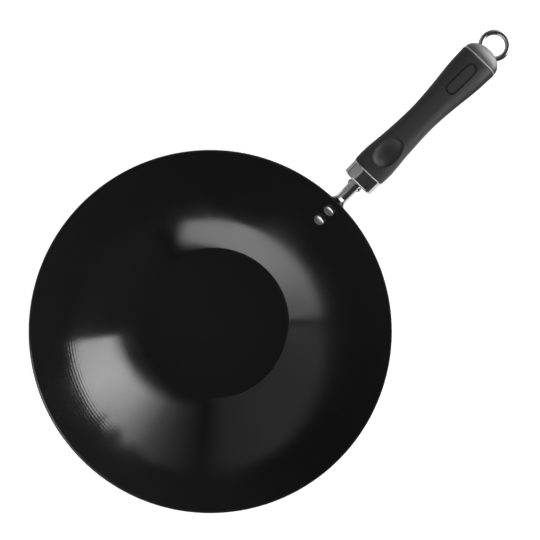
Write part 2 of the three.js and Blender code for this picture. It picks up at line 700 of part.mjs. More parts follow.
function handle() {
  const group = new THREE.Group();
  group.applyMatrix4(HANDLE_FRAME);
  const ring = new THREE.Group();
  ring.position.x = RING_HINGE;
  ring.rotation.y = radians(RING_DROOP);
  ring.add(named('hang_ring', ringGeometry(), chrome()));
  group.add(
    named('ferrule', ferruleGeometry(), chrome()),
    named('grip', gripGeometry(), phenolic()),
    named('tang_nut', nutGeometry(), zincSteel()),
    named('tie_bolt', boltGeometry(), zincSteel()),
    named('flat_washer', flatWasherGeometry(), zincSteel()),
    named('spring_washer', springWasherGeometry(), zincSteel()),
    named('end_cap', capGeometry(), satinSilver()),
    ring,
  );
  return group;
}

const wok = new THREE.Group();
wok.add(
  named('wok_bowl', bowlGeometry(), coating()),
  named('handle_bracket', bracketGeometry(), chrome()),
  rivet('rivet_upper', RIVET_DROPS[0]),
  rivet('rivet_lower', RIVET_DROPS[1]),
  handle(),
);

export default wok;
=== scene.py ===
"""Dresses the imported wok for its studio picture.

The property groups hold the sizes, finishes and studio settings, and each operator makes one piece,
or one group of like pieces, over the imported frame. Lengths are metres in the frame of the part: +Z up
out of the bowl and +X along the handle.
"""
import math

import bmesh
import bpy
from bpy.props import FloatProperty, FloatVectorProperty, PointerProperty
from mathutils import Matrix, Vector


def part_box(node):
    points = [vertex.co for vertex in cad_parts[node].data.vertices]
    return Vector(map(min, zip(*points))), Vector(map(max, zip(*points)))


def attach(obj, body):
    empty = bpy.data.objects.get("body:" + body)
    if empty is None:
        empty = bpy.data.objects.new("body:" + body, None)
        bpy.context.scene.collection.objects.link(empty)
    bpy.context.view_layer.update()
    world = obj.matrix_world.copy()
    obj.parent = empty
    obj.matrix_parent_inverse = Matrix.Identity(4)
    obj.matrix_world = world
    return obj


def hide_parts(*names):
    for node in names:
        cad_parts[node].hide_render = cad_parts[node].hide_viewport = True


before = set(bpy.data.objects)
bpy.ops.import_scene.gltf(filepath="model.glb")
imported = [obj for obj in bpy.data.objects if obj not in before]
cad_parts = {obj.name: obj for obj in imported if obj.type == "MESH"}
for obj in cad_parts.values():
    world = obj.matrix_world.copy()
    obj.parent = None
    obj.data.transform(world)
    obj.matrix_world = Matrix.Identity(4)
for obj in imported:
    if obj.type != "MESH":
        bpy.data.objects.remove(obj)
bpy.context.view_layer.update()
_, BOWL_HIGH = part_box("wok_bowl")

bl_info = {
    "name": "Wok",
    "version": (1, 0, 0),
    "blender": (4, 5, 0),
    "location": "View3D > Sidebar > Wok",
    "description": "Builds a flat-bottomed wok with a riveted bracket, a moulded grip and a hanging ring",
    "category": "Object",
}

WELD = 1e-6

# Edges: faces past the sharp angle stay sharp, and sheet edges past the soft angle are rounded
SHARP_ANGLE = math.radians(32)
SOFT_ANGLE = math.radians(50)
SOFT_SEGMENTS = 2

# Exponent of the handle's rounded ovals
SQUARENESS = 2.4

# Specular level of the coating and of the phenolic
COAT_SHINE = 0.667

# Facet counts
BOWL_STEPS = 192
WALL_STEPS = 44
FILLET_STEPS = 14
TURN_STEPS = 64
ARCH_STEPS = 40
SECTION_STEPS = 112
GRIP_STEPS = 96
EDGE_STEPS = 8
DOME_STEPS = 28
RING_STEPS = 112


def length(name, default, description):
    """A length in metres."""
    return FloatProperty(
        name=name, description=description, default=default, subtype="DISTANCE", unit="LENGTH", precision=5
    )


def angle(name, degrees, description):
    """An angle, given in degrees and kept in radians."""
    return FloatProperty(
        name=name, description=description, default=math.radians(degrees), subtype="ANGLE", unit="ROTATION"
    )


def share(name, default, description):
    """A number from nought to one."""
    return FloatProperty(name=name, description=description, default=default, min=0.0, max=1.0)


def colour(name, default, description):
    """A linear colour."""
    return FloatVectorProperty(
        name=name, description=description, default=default, subtype="COLOR", size=3, min=0.0, max=1.0
    )


def power(name, default, description):
    """A lamp's power in watts."""
    return FloatProperty(name=name, description=description, default=default, unit="POWER")


class WokBowl(bpy.types.PropertyGroup):
    """Sizes of the pressed bowl and its rivets."""

    rim_radius: length("Rim radius", BOWL_HIGH.x, "Outer radius of the rim")
    depth: length("Depth", BOWL_HIGH.z, "Height of the rim over the underside")
    sheet: length("Sheet", 0.0016, "Thickness of the pressed sheet")
    base_radius: length("Base radius", 0.0785, "Radius of the flat base")
    base_fillet: length("Base fillet", 0.014, "Radius between base and wall")
    wall_sweep: length("Wall sweep", 0.236, "Radius of the wall's long arc")
    rivet_drop: length("Rivet drop", 0.0155, "From the rim down the wall to the upper rivet")
    rivet_pitch: length("Rivet pitch", 0.020, "Between the two rivets")
    rivet_head: length("Rivet head", 0.0115, "Diameter of a rivet's head inside the bowl")
    rivet_crown: length("Rivet crown", 0.0014, "Height of a rivet head's dome")
    rivet_edge: length("Rivet edge", 0.0018, "Height of a rivet head's straight edge")
    rivet_tail: length("Rivet tail", 0.0084, "Diameter of a rivet's tail on the plate")


class WokHandle(bpy.types.PropertyGroup):
    """Sizes of the bracket, ferrule, grip, cap and ring."""

    rise: angle("Rise", 15, "Rise of the handle's line from level")
    reach: length("Neck reach", 0.0267, "From the rim to the ferrule, measured level")
    lift: length("Lift", -0.00063, "Height of the ferrule's front centre over the rim")
    bracket_sheet: length("Bracket sheet", 0.0015, "Thickness of the bracket's sheet")
    plate_top: length("Plate top", 0.004, "From the rim down the wall to the plate")
    plate_width: length("Plate width", 0.026, "Width of the plate beside the neck")
    plate_corner: length("Plate corner", 0.004, "Radius of the plate's upper corners")
    plate_tip: length("Plate tip", 0.0085, "Radius of the plate's lower end")
    neck_width: length("Neck width", 0.0119, "Width of the channel neck")
    neck_skirt: length("Neck skirt", 0.0045, "Straight part of the channel's sides")
    flare_length: length("Flare length", 0.008, "Length over which the neck's root spreads")
    flare_spread: length("Flare spread", 0.006, "How far the root spreads on each side")
    root_slope: angle("Root slope", 18, "Slope at which the neck's top falls to its root")
    root_shoulder: length("Root shoulder", 0.0136, "From the neck's root to where its top starts to fall")
    root_bend: length("Root bend", 0.0016, "Length of the bend into that slope")
    ear_radius: length("Ear radius", 0.0034, "Radius of the two stop ears")
    ear_spacing: length("Ear spacing", 0.0094, "Between the ears' centres")
    ear_skirt: length("Ear skirt", 0.004, "Depth of the ears under the handle's line")
    tang_length: length("Tang length", 0.045, "How far the channel runs into the grip")
    ferrule_length: length("Ferrule length", 0.0154, "Length of the ferrule")
    ferrule_width: length("Ferrule width", 0.0345, "Width of the ferrule")
    ferrule_height: length("Ferrule height", 0.0254, "Height of the ferrule")
    ferrule_edge: length("Ferrule edge", 0.002, "Radius of the ferrule's front edge")
    ferrule_bead: length("Ferrule bead", 0.0006, "Height and half length of the bead at the ferrule's rear")
    seam: length("Seam", 0.0003, "Gap between the ferrule, the grip and the cap")
    grip_length: length("Grip length", 0.141, "Length of the grip")
    thumb_at: length("Thumb dish", 0.0265, "From the grip's front to the dish's widest place")
    thumb_front: length("Dish front", 0.0165, "Length of the dish towards the ferrule")
    thumb_rear: length("Dish rear", 0.0162, "Length of the dish towards the cap")
    thumb_spread: length("Dish width", 0.0262, "Width of the dish's cutter")
    thumb_depth: length("Dish depth", 0.007, "Depth of the dish under the shoulder")
    plaque_from_rear: length("Recess place", 0.0228, "From the grip's rear to the recess's centre")
    plaque_length: length("Recess length", 0.0336, "Length of the stadium recess")
    plaque_width: length("Recess width", 0.0114, "Width of the stadium recess")
    plaque_depth: length("Recess depth", 0.0018, "Depth of the groove round the recess")
    plaque_groove: length("Recess groove", 0.0014, "Width of the groove round the recess")
    lip_length: length("Lip length", 0.001, "Length of the cap's lip")
    lip_width: length("Lip width", 0.038, "Width of the cap's lip")
    lip_height: length("Lip height", 0.0274, "Height of the cap's lip")
    dome_width: length("Dome width", 0.0374, "Width of the cap's dome")
    dome_height: length("Dome height", 0.0268, "Height of the cap's dome")
    dome_length: length("Dome length", 0.0124, "Length of the cap's dome")
    ring_diameter: length("Ring diameter", 0.0297, "Outer diameter of the ring")
    ring_wire: length("Ring wire", 0.005, "Diameter of the ring's wire")
    ring_flat: length("Ring flat", 0.011, "From the ring's centre to its flat side")
    ring_setback: length("Ring setback", 0.0046, "From the dome's tip back to the ring's flat side")
    ring_droop: angle("Ring droop", 15, "Turn of the ring below the handle's line at rest")


class WokFinish(bpy.types.PropertyGroup):
    """Colours and gloss of the finishes."""

    coating: colour("Coating", (0.011, 0.011, 0.0112), "Black non-stick coating")
    coating_gloss: share("Coating roughness", 0.11, "Roughness of the coating")
    chrome: colour("Chrome", (0.56, 0.56, 0.565), "Chrome plate of the bracket and ferrule")
    chrome_gloss: share("Chrome roughness", 0.07, "Roughness of the chrome plate")
    rivet: colour("Rivet", (0.75, 0.75, 0.75), "Bright rivet metal")
    rivet_gloss: share("Rivet roughness", 0.32, "Roughness of the rivets")
    phenolic: colour("Grip", (0.0062, 0.0062, 0.0064), "Charcoal moulded grip")
    phenolic_gloss: share("Grip roughness", 0.57, "Roughness of the grip")
    dish_polish: share("Dish polish", 0.05, "How much smoother the thumb dish is than the grip")
    satin: colour("Cap", (0.2, 0.2, 0.202), "Satin silver cap")
    satin_gloss: share("Cap roughness", 0.6, "Roughness of the cap")
    lip: colour("Cap lip", (0.6, 0.6, 0.6), "Polished lip of the cap")
    wire: colour("Ring", (0.5, 0.5, 0.5), "Polished wire of the ring")
    wire_gloss: share("Ring roughness", 0.14, "Roughness of the ring")
    zinc: colour("Zinc", (0.45, 0.45, 0.43), "Zinc plate of the hidden fasteners")
    zinc_gloss: share("Zinc roughness", 0.35, "Roughness of the zinc plate")


class WokStudio(bpy.types.PropertyGroup):
    """Camera, floor and lights."""

    view_turn: angle("View turn", 45.37, "Turn of the handle in the picture, from the picture's right")
    camera_height: length("Camera height", 0.826, "Height of the camera over the floor")
    camera_along: length("Camera along", 0.068, "Place of the camera along the handle")
    camera_across: length("Camera across", 0.020, "Place of the camera across the handle")
    lens: FloatProperty(
        name="Lens", description="Focal length in millimetres", default=49.77, subtype="DISTANCE_CAMERA"
    )
    shift_x: FloatProperty(name="Shift X", description="Sideways shift of the picture", default=0.0472)
    shift_y: FloatProperty(name="Shift Y", description="Upward shift of the picture", default=-0.0041)
    floor: colour("Floor", (0.7, 0.7, 0.7), "Pale floor")
    floor_glow: share("Floor glow", 0.72, "White that the floor adds for the camera and for reflections")
    room: share("Room", 0.06, "Even light of the room")
    side_power: power("Side spot", 42.0, "Power of the spot from the right")
    end_power: power("End spot", 75.0, "Power of the spot from beyond the ring")


def bowl_sizes():
    return bpy.context.scene.wok_bowl


def handle_sizes():
    return bpy.context.scene.wok_handle


def finishes():
    return bpy.context.scene.wok_finish


# Meshes and pieces


def mesh_object(name, bm):
    """An object at the origin with the bmesh's shape, its doubles merged and its faces turned outwards."""
    bmesh.ops.remove_doubles(bm, verts=bm.verts, dist=WELD)
    bmesh.ops.recalc_face_normals(bm, faces=bm.faces)
    mesh = bpy.data.meshes.new(name)
    bm.to_mesh(mesh)
    bm.free()
    shape = bpy.data.objects.new(name, mesh)
    bpy.context.scene.collection.objects.link(shape)
    return shape


def apply_modifiers(shape):
    """Makes the modifiers' result the object's own mesh."""
    graph = bpy.context.evaluated_depsgraph_get()
    mesh = bpy.data.meshes.new_from_object(shape.evaluated_get(graph))
    shape.modifiers.clear()
    old = shape.data
    shape.data = mesh
    bpy.data.meshes.remove(old)
    mesh.name = shape.name


def carve(shape, bm):
    """Cuts a closed bmesh out of an object."""
    cutter = mesh_object("cutter", bm)
    modifier = shape.modifiers.new("carve", "BOOLEAN")
    modifier.operation = "DIFFERENCE"
    modifier.solver = "EXACT"
    modifier.object = cutter
    apply_modifiers(shape)
    bpy.data.objects.remove(cutter)


def soften(shape, width):
    """Rounds the object's sharp edges."""
    bevel = shape.modifiers.new("soft edges", "BEVEL")
    bevel.width = width
    bevel.segments = SOFT_SEGMENTS
    bevel.limit_method = "ANGLE"
    bevel.angle_limit = SOFT_ANGLE
    apply_modifiers(shape)


def finish_piece(shape, material, nodes, body="wok"):
    """Shades a piece, gives it its finish and ties it to the frame."""
    shape.data.shade_smooth()
    shape.data.set_sharp_from_angle(angle=SHARP_ANGLE)
    shape.data.materials.clear()
    shape.data.materials.append(material)
    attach(shape, body)
    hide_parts(*nodes)


def verts_of(geometry):
    return [item for item in geometry if isinstance(item, bmesh.types.BMVert)]


def edges_of(geometry):
    return [item for item in geometry if isinstance(item, bmesh.types.BMEdge)]


def shift(bm, vec, verts=None):
    """Moves some vertices, or else all."""
    bmesh.ops.translate(bm, vec=vec, verts=verts or bm.verts)


def stretch(bm, vec, verts=None):
    """Scales some vertices, or else all, about the origin."""
    bmesh.ops.scale(bm, vec=vec, verts=verts or bm.verts)


def twist(bm, turn, axis, verts=None):
    """Turns some vertices, or else all, about an axis through the origin."""
    bmesh.ops.rotate(bm, cent=(0, 0, 0), matrix=Matrix.Rotation(turn, 3, axis), verts=verts or bm.verts)


def lay(bm, matrix):
    """Puts a whole bmesh in its place."""
    bmesh.ops.transform(bm, matrix=matrix, verts=bm.verts)


def extrude(bm, edges):
    """Extrudes edges where they are and returns the new vertices and edges."""
    made = bmesh.ops.extrude_edge_only(bm, edges=edges)["geom"]
    return verts_of(made), edges_of(made)


def push(bm, faces, vec):
    """Extrudes faces along a vector."""
    made = bmesh.ops.extrude_face_region(bm, geom=faces)
    shift(bm, vec, verts_of(made["geom"]))


def cut_off(bm, place, normal):
    """Cuts away what lies beyond a plane and returns the edges of the cut."""
    cut = bmesh.ops.bisect_plane(
        bm, geom=bm.verts[:] + bm.edges[:] + bm.faces[:], plane_co=place, plane_no=normal, clear_outer=True
    )
    return edges_of(cut["geom_cut"])


def thicken(bm, face, outwards, thickness):
    """Turns a skin's faces the way that one of them should look, and gives the skin its thickness."""
    bmesh.ops.recalc_face_normals(bm, faces=bm.faces)
    if face.normal.dot(outwards) < 0:
        bmesh.ops.reverse_faces(bm, faces=bm.faces)
    bmesh.ops.solidify(bm, geom=bm.faces, thickness=thickness)


def arc_on(bm, vert, centre, turn, steps):
    """Draws an arc from a vertex about a centre in the XZ plane and returns its last vertex."""
    made = bmesh.ops.spin(
        bm, geom=[vert], cent=centre, axis=(0, 1, 0), angle=-turn, steps=steps, use_merge=False
    )
    return verts_of(made["geom_last"])[0]


def lines_on(bm, vert, *places):
    """Draws straight lines on from a vertex and returns the last vertex."""
    for place in places:
        far = bm.verts.new(place)
        bm.edges.new((vert, far))
        vert = far
    return vert


def spin(bm, geometry, turn, steps, merge=False):
    """Spins edges round the Z axis and returns the edges at the far end."""
    made = bmesh.ops.spin(
        bm, geom=geometry, cent=(0, 0, 0), axis=(0, 0, 1), angle=turn, steps=steps, use_merge=merge
    )
    return edges_of(made["geom_last"])


def turn_profile(bm, steps):
    """Spins the drawn profile once round the Z axis."""
    spin(bm, bm.verts[:] + bm.edges[:], 2 * math.pi, steps, merge=True)


def oval_loft(bm, sections):
    """Draws a skin through rounded ovals, each (place along X, width, height), and closes its ends."""
    start, width, height = sections[0]
    first = bmesh.ops.create_circle(bm, segments=SECTION_STEPS, radius=1.0, cap_ends=True)["verts"]
    power = 2 / SQUARENESS
    for vert in first:
        across, up = vert.co.x, vert.co.y
        vert.co = Vector((
            start,
            math.copysign(abs(across) ** power, across) * width / 2,
            math.copysign(abs(up) ** power, up) * height / 2,
        ))
    ring = list({edge for vert in first for edge in vert.link_edges})
    for place, wide, high in sections[1:]:
        verts, ring = extrude(bm, ring)
        stretch(bm, (1, wide / width, high / height), verts)
        shift(bm, (place - start, 0, 0), verts)
        start, width, height = place, wide, high
    bmesh.ops.contextual_create(bm, geom=ring)


# Places that the pieces share


def wall_arcs():
    """Centres of the base fillet and of the wall's long arc, and the slopes at the wall's two ends."""
    bowl = bowl_sizes()
    half = bowl.sheet / 2
    fillet = Vector((bowl.base_radius, half + bowl.base_fillet))
    rim = Vector((bowl.rim_radius - half, bowl.depth - half))
    between = rim - fillet
    reach = bowl.wall_sweep - bowl.base_fillet
    along = (reach ** 2 - bowl.wall_sweep ** 2 + between.length_squared) / (2 * between.length)
    aside = math.sqrt(reach ** 2 - along ** 2)
    unit = between.normalized()
    sweep = fillet + unit * along + Vector((-unit.y, unit.x)) * aside
    start = math.atan2(fillet.x - sweep.x, sweep.y - fillet.y)
    end = math.atan2(rim.x - sweep.x, sweep.y - rim.y)
    return fillet, sweep, start, end


def wall_frame(drop, offset):
    """A frame on the wall, its origin off the sheet's middle surface and its +Z along the inward normal."""
    bowl = bowl_sizes()
    _, sweep, _, end = wall_arcs()
    slope = end - drop / bowl.wall_sweep
    radius = bowl.wall_sweep + offset
    place = Vector((sweep.x + radius * math.sin(slope), 0, sweep.y - radius * math.cos(slope)))
    return Matrix.Translation(place) @ Matrix.Rotation(-slope, 4, "Y")


def handle_frame():
    """The handle's frame: its origin at the ferrule's front centre and +X along the handle."""
    bowl = bowl_sizes()
    handle = handle_sizes()
    place = Vector((bowl.rim_radius + handle.reach, 0, bowl.depth + handle.lift))
    return Matrix.Translation(place) @ Matrix.Rotation(-handle.rise, 4, "Y")


def grip_front():
    return handle_sizes().ferrule_length + handle_sizes().seam


def cap_front():
    return grip_front() + handle_sizes().grip_length + handle_sizes().seam


def dome_front():
    return cap_front() + handle_sizes().lip_length


def ring_hinge():
    return dome_front() + handle_sizes().dome_length - handle_sizes().ring_setback


def ring_radius():
    """Radius of the ring on the wire's centre line."""
    return (handle_sizes().ring_diameter - handle_sizes().ring_wire) / 2


def ring_half_flat():
    """Half the length of the ring's flat side, on the wire's centre line."""
    return math.sqrt(ring_radius() ** 2 - handle_sizes().ring_flat ** 2)


# Materials


class NodeTree:
    """Short ways to add nodes to a tree."""

    def __init__(self, tree):
        self.nodes = tree.nodes
        self.links = tree.links

    def feed(self, node, inputs):
        """Sets a node's inputs, and links those that are given as sockets."""
        for name, value in inputs.items():
            if isinstance(value, bpy.types.NodeSocket):
                self.links.new(value, node.inputs[name])
            else:
                node.inputs[name].default_value = value

    def add(self, kind, inputs=None, **settings):
        """Adds a node and returns its outputs."""
        node = self.nodes.new(f"ShaderNode{kind}")
        for name, value in settings.items():
            setattr(node, name, value)
        self.feed(node, inputs or {})
        return node.outputs

    def spread(self, value, low, high, start=0.0, end=1.0):
        """Maps the range from start to end onto the one from low to high."""
        inputs = {"Value": value, "From Min": start, "From Max": end, "To Min": low, "To Max": high}
        return self.add("MapRange", inputs)["Result"]

    def math(self, operation, first, second):
        return self.add("Math", {0: first, 1: second}, operation=operation)["Value"]

    def axis(self, name, vector):
        """One coordinate of a vector."""
        return self.add("SeparateXYZ", {"Vector": vector})[name]


class Finish(NodeTree):
    """A new material with its shader, and short ways to make its pattern."""

    def __init__(self, name, colour, gloss, metallic=0.0, edge=1.0, shine=0.5):
        self.material = bpy.data.materials.new(name)
        self.material.use_nodes = True
        super().__init__(self.material.node_tree)
        self.colour = colour
        self.gloss = gloss
        self.shader = self.nodes["Principled BSDF"]
        self.shade({
            "Base Color": (*colour, 1), "Roughness": gloss, "Metallic": metallic,
            "Specular Tint": (edge, edge, edge, 1), "Specular IOR Level": shine,
        })
        self.coordinates = self.add("TexCoord")["Object"]

    def shade(self, inputs):
        self.feed(self.shader, inputs)

    def mapped(self, location=(0, 0, 0), turn=(0, 0, 0), scale=(1, 1, 1), vector=None):
        """The coordinates, or another vector, scaled, turned and moved."""
        inputs = {"Location": location, "Rotation": turn, "Scale": scale}
        return self.add("Mapping", {"Vector": vector or self.coordinates, **inputs})["Vector"]

    def noise(self, scale, detail=3.0, roughness=0.5, vector=None):
        inputs = {"Scale": scale, "Detail": detail, "Roughness": roughness}
        return self.add("TexNoise", {"Vector": vector or self.coordinates, **inputs})["Fac"]

    def rings(self, scale, distortion):
        """Rings round the Z axis."""
        inputs = {"Vector": self.coordinates, "Scale": scale, "Distortion": distortion}
        return self.add("TexWave", inputs, wave_type="RINGS", rings_direction="Z")["Fac"]

    def reach(self, vector):
        """Length of a vector."""
        return self.add("VectorMath", {"Vector": vector}, operation="LENGTH")["Value"]

    def on_handle(self):
        """Coordinates in the handle's own frame."""
        return self.mapped(handle_frame().inverted().translation, (0, handle_sizes().rise, 0))

    def ramp(self, value, stops):
        """A grey that runs through (place, grey) stops."""
        node = self.nodes.new("ShaderNodeValToRGB")
        while len(node.color_ramp.elements) < len(stops):
            node.color_ramp.elements.new(1.0)
        for element, (place, grey) in zip(node.color_ramp.elements, stops):
            element.position = place
            element.color = (grey, grey, grey, 1)
        self.feed(node, {"Fac": value})
        return node.outputs["Color"]

    def tint(self, share, first, second):
        """Mixes two colours by a share."""
        inputs = {"Factor": share, "A": (*first, 1), "B": (*second, 1)}
        self.shade({"Base Color": self.add("Mix", inputs, data_type="RGBA")["Result"]})

    def mottle(self, pattern, start, end, first, second):
        """Mixes two tones of the colour by a pattern that runs from start to end."""
        tones = [[channel * tone for channel in self.colour] for tone in (first, second)]
        self.tint(self.spread(pattern, 0.0, 1.0, start, end), *tones)

    def drift(self, pattern, start, end, less, more):
        """Lets the roughness drift about its value by a pattern that runs from start to end."""
        self.shade({"Roughness": self.spread(pattern, self.gloss - less, self.gloss + more, start, end)})

    def bump(self, height, distance, **under):
        """Raises the surface by a height, over the normal that may be given."""
        inputs = {"Height": height, "Distance": distance, "Strength": 1.0, **under}
        normal = self.add("Bump", inputs)["Normal"]
        self.shade({"Normal": normal})
        return normal


def coating_finish():
    """Black coating: fine turned lines on the outer wall, a soft orange peel and scattered specks."""
    look = finishes()
    lines_from, lines_full = 0.112, 0.132
    finish = Finish("bowl_coating", look.coating, look.coating_gloss, shine=COAT_SHINE)
    peel = finish.noise(420.0, detail=2.0)
    cloud = finish.noise(14.0, detail=4.0, roughness=0.6)
    speck = finish.noise(2600.0, detail=1.0)
    finish.mottle(speck, 0.45, 0.8, 1.0, 2.6)
    finish.drift(cloud, 0.3, 0.7, less=0.04, more=0.06)
    lines = finish.rings(140.0, 0.6)
    patch = finish.spread(finish.noise(9.0, detail=2.0), 0.2, 1.0, 0.35, 0.65)
    radius = finish.reach(finish.mapped(scale=(1, 1, 0)))
    outer = finish.spread(radius, 0.0, 1.0, lines_from, lines_full)
    turned = finish.bump(finish.math("MULTIPLY", lines, finish.math("MULTIPLY", patch, outer)), 0.000026)
    finish.bump(peel, 0.00002, Normal=turned)
    return finish.material


def chrome_finish():
    """Chrome plate: hairline scuffs and a faint haze."""
    look = finishes()
    finish = Finish("chromed_steel", look.chrome, look.chrome_gloss, metallic=1.0)
    haze = finish.noise(160.0, detail=5.0, roughness=0.65)
    scuff = finish.noise(900.0, detail=2.0, vector=finish.mapped(scale=(0.06, 1.0, 1.0)))
    finish.mottle(haze, 0.3, 0.75, 1.0, 0.86)
    finish.drift(haze, 0.3, 0.8, less=0.03, more=0.07)
    finish.bump(scuff, 0.000006)
    return finish.material


def rivet_finish():
    """Bright rivet metal with a hammered crown."""
    look = finishes()
    finish = Finish("rivet_metal", look.rivet, look.rivet_gloss, metallic=1.0)
    dents = finish.noise(700.0, detail=2.0)
    finish.mottle(dents, 0.35, 0.7, 1.0, 0.8)
    finish.drift(dents, 0.3, 0.75, less=0.06, more=0.08)
    finish.bump(dents, 0.00003)
    return finish.material


def phenolic_finish():
    """Moulded phenolic: a satin grain, paler flecks of filler and a thumb dish worn smooth."""
    look = finishes()
    handle = handle_sizes()
    dish_edge = 1.05
    finish = Finish("grip_phenolic", look.phenolic, look.phenolic_gloss, shine=COAT_SHINE)
    grain = finish.noise(1000.0, detail=3.0, roughness=0.6)
    fleck = finish.noise(1200.0, detail=2.0)
    cloud = finish.noise(45.0, detail=4.0)
    finish.mottle(fleck, 0.4, 0.85, 1.0, 3.2)
    half = (handle.thumb_front + handle.thumb_rear) / 2, handle.thumb_spread / 2, handle.thumb_depth
    centre = grip_front() + handle.thumb_at, 0, AddGrip.shoulder
    dish = finish.reach(finish.mapped(
        [-place / size for place, size in zip(centre, half)], scale=[1 / size for size in half],
        vector=finish.on_handle(),
    ))
    smooth = finish.spread(dish, look.dish_polish, 0.0, 1.0, dish_edge)
    rough = finish.spread(cloud, look.phenolic_gloss - 0.06, look.phenolic_gloss + 0.08, 0.3, 0.7)
    finish.shade({"Roughness": finish.math("SUBTRACT", rough, smooth)})
    finish.bump(grain, 0.00004)
    return finish.material


def satin_finish():
    """Satin silver: an even bead-blasted grain, with the lip polished bright."""
    look = finishes()
    finish = Finish("cap_satin", look.satin, look.satin_gloss, metallic=1.0)
    grain = finish.noise(2200.0, detail=2.0)
    cloud = finish.noise(90.0, detail=3.0)
    along = finish.axis("X", finish.on_handle())
    polish = finish.spread(along, 1.0, 0.0, dome_front(), dome_front() + handle_sizes().seam)
    share = finish.math("ADD", finish.spread(grain, 0.0, 0.12, 0.3, 0.75), polish)
    finish.tint(share, [channel * 0.9 for channel in look.satin], look.lip)
    finish.drift(cloud, 0.3, 0.7, less=0.05, more=0.06)
    finish.bump(grain, 0.00001)
    return finish.material


def wire_finish():
    """Polished wire with faint drawing marks and a little haze."""
    look = finishes()
    finish = Finish("ring_steel", look.wire, look.wire_gloss, metallic=1.0, edge=0.6)
    haze = finish.noise(260.0, detail=4.0)
    marks = finish.noise(1300.0, detail=2.0, vector=finish.mapped(scale=(1.0, 1.0, 4.0)))
    finish.mottle(haze, 0.35, 0.75, 1.0, 0.82)
    finish.drift(haze, 0.3, 0.75, less=0.04, more=0.08)
    finish.bump(marks, 0.000008)
    return finish.material


def zinc_finish():
    """Zinc plate with a soft spangle."""
    look = finishes()
    finish = Finish("plated_steel", look.zinc, look.zinc_gloss, metallic=1.0)
    spangle = finish.noise(600.0, detail=3.0)
    finish.mottle(spangle, 0.3, 0.7, 0.8, 1.15)
    finish.drift(spangle, 0.3, 0.7, less=0.08, more=0.1)
    finish.bump(spangle, 0.00001)
    return finish.material


def glow_finish(name, colour=(0, 0, 0), gloss=1.0):
    """A finish without a gleam, for what gives white light in the studio."""
    finish = Finish(name, colour, gloss, shine=0.0)
    finish.shade({"Emission Color": (1, 1, 1, 1)})
    return finish


# Pieces


class AddBowl(bpy.types.Operator):
    """Presses the bowl: a flat base, a fillet and one long arc, spun round and given its thickness."""

    bl_idname = "wok.add_bowl"
    bl_label = "Add bowl"

    # Width of the rounded edges, as a share of the sheet
    edge_share = 0.1

    def execute(self, context):
        bowl = bowl_sizes()
        fillet, sweep, start, end = wall_arcs()
        bm = bmesh.new()
        centre = bm.verts.new((0, 0, bowl.sheet / 2))
        edge = lines_on(bm, centre, (bowl.base_radius, 0, bowl.sheet / 2))
        edge = arc_on(bm, edge, (fillet.x, 0, fillet.y), start, FILLET_STEPS)
        arc_on(bm, edge, (sweep.x, 0, sweep.y), end - start + bowl.sheet / bowl.wall_sweep, WALL_STEPS)
        turn_profile(bm, BOWL_STEPS)
        shape = mesh_object("wok_bowl_coated", bm)
        wall = shape.modifiers.new("sheet", "SOLIDIFY")
        wall.thickness = bowl.sheet
        wall.offset = 0
        wall.use_even_offset = True
        apply_modifiers(shape)
        self.trim_rim(shape)
        soften(shape, bowl.sheet * self.edge_share)
        finish_piece(shape, coating_finish(), ["wok_bowl"])
        return {"FINISHED"}

    def trim_rim(self, shape):
        """Trims the rim level at the bowl's depth and dresses its outside to the rim's radius."""
        bm = bmesh.new()
        bm.from_mesh(shape.data)
        bmesh.ops.bridge_loops(bm, edges=cut_off(bm, (0, 0, bowl_sizes().depth), (0, 0, 1)))
        for vert in bm.verts:
            vert.co.xy *= min(1.0, bowl_sizes().rim_radius / max(vert.co.xy.length, WELD))
        bmesh.ops.recalc_face_normals(bm, faces=bm.faces)
        bm.to_mesh(shape.data)
        bm.free()


class AddRivets(bpy.types.Operator):
    """Sets the two rivets: domed heads inside the bowl and flat tails on the bracket's plate."""

    bl_idname = "wok.add_rivets"
    bl_label = "Add rivets"

    # Radius of the shank and of the tail's flat end, as shares of the tail's
    shank_share = 0.7
    flat_share = 0.6

    def execute(self, context):
        bowl = bowl_sizes()
        material = rivet_finish()
        for name, below in (("rivet_upper", 0), ("rivet_lower", bowl.rivet_pitch)):
            bm = self.rivet()
            lay(bm, wall_frame(bowl.rivet_drop + below, -bowl.sheet / 2))
            shape = mesh_object(f"{name}_bright", bm)
            finish_piece(shape, material, [name])
        return {"FINISHED"}

    def rivet(self):
        """One rivet along Z, its head on the bowl's inner face at nought."""
        bowl = bowl_sizes()
        handle = handle_sizes()
        head = bowl.rivet_head / 2
        tail = bowl.rivet_tail / 2
        shank = tail * self.shank_share
        face = -(bowl.sheet + handle.seam + handle.bracket_sheet)
        end = face - bowl.rivet_crown
        bm = bmesh.new()
        rim = bm.verts.new((head, 0, 0))
        arc_on(bm, rim, (0, 0, 0), math.pi / 2, EDGE_STEPS * 2)
        stretch(bm, (1, 1, bowl.rivet_crown / head))
        shift(bm, (0, 0, bowl.rivet_edge))
        lines_on(
            bm, rim, (head, 0, 0), (shank, 0, 0), (shank, 0, face), (tail, 0, face),
            (tail, 0, face - bowl.rivet_crown / 2), (tail * self.flat_share, 0, end), (0, 0, end),
        )
        turn_profile(bm, TURN_STEPS)
        return bm


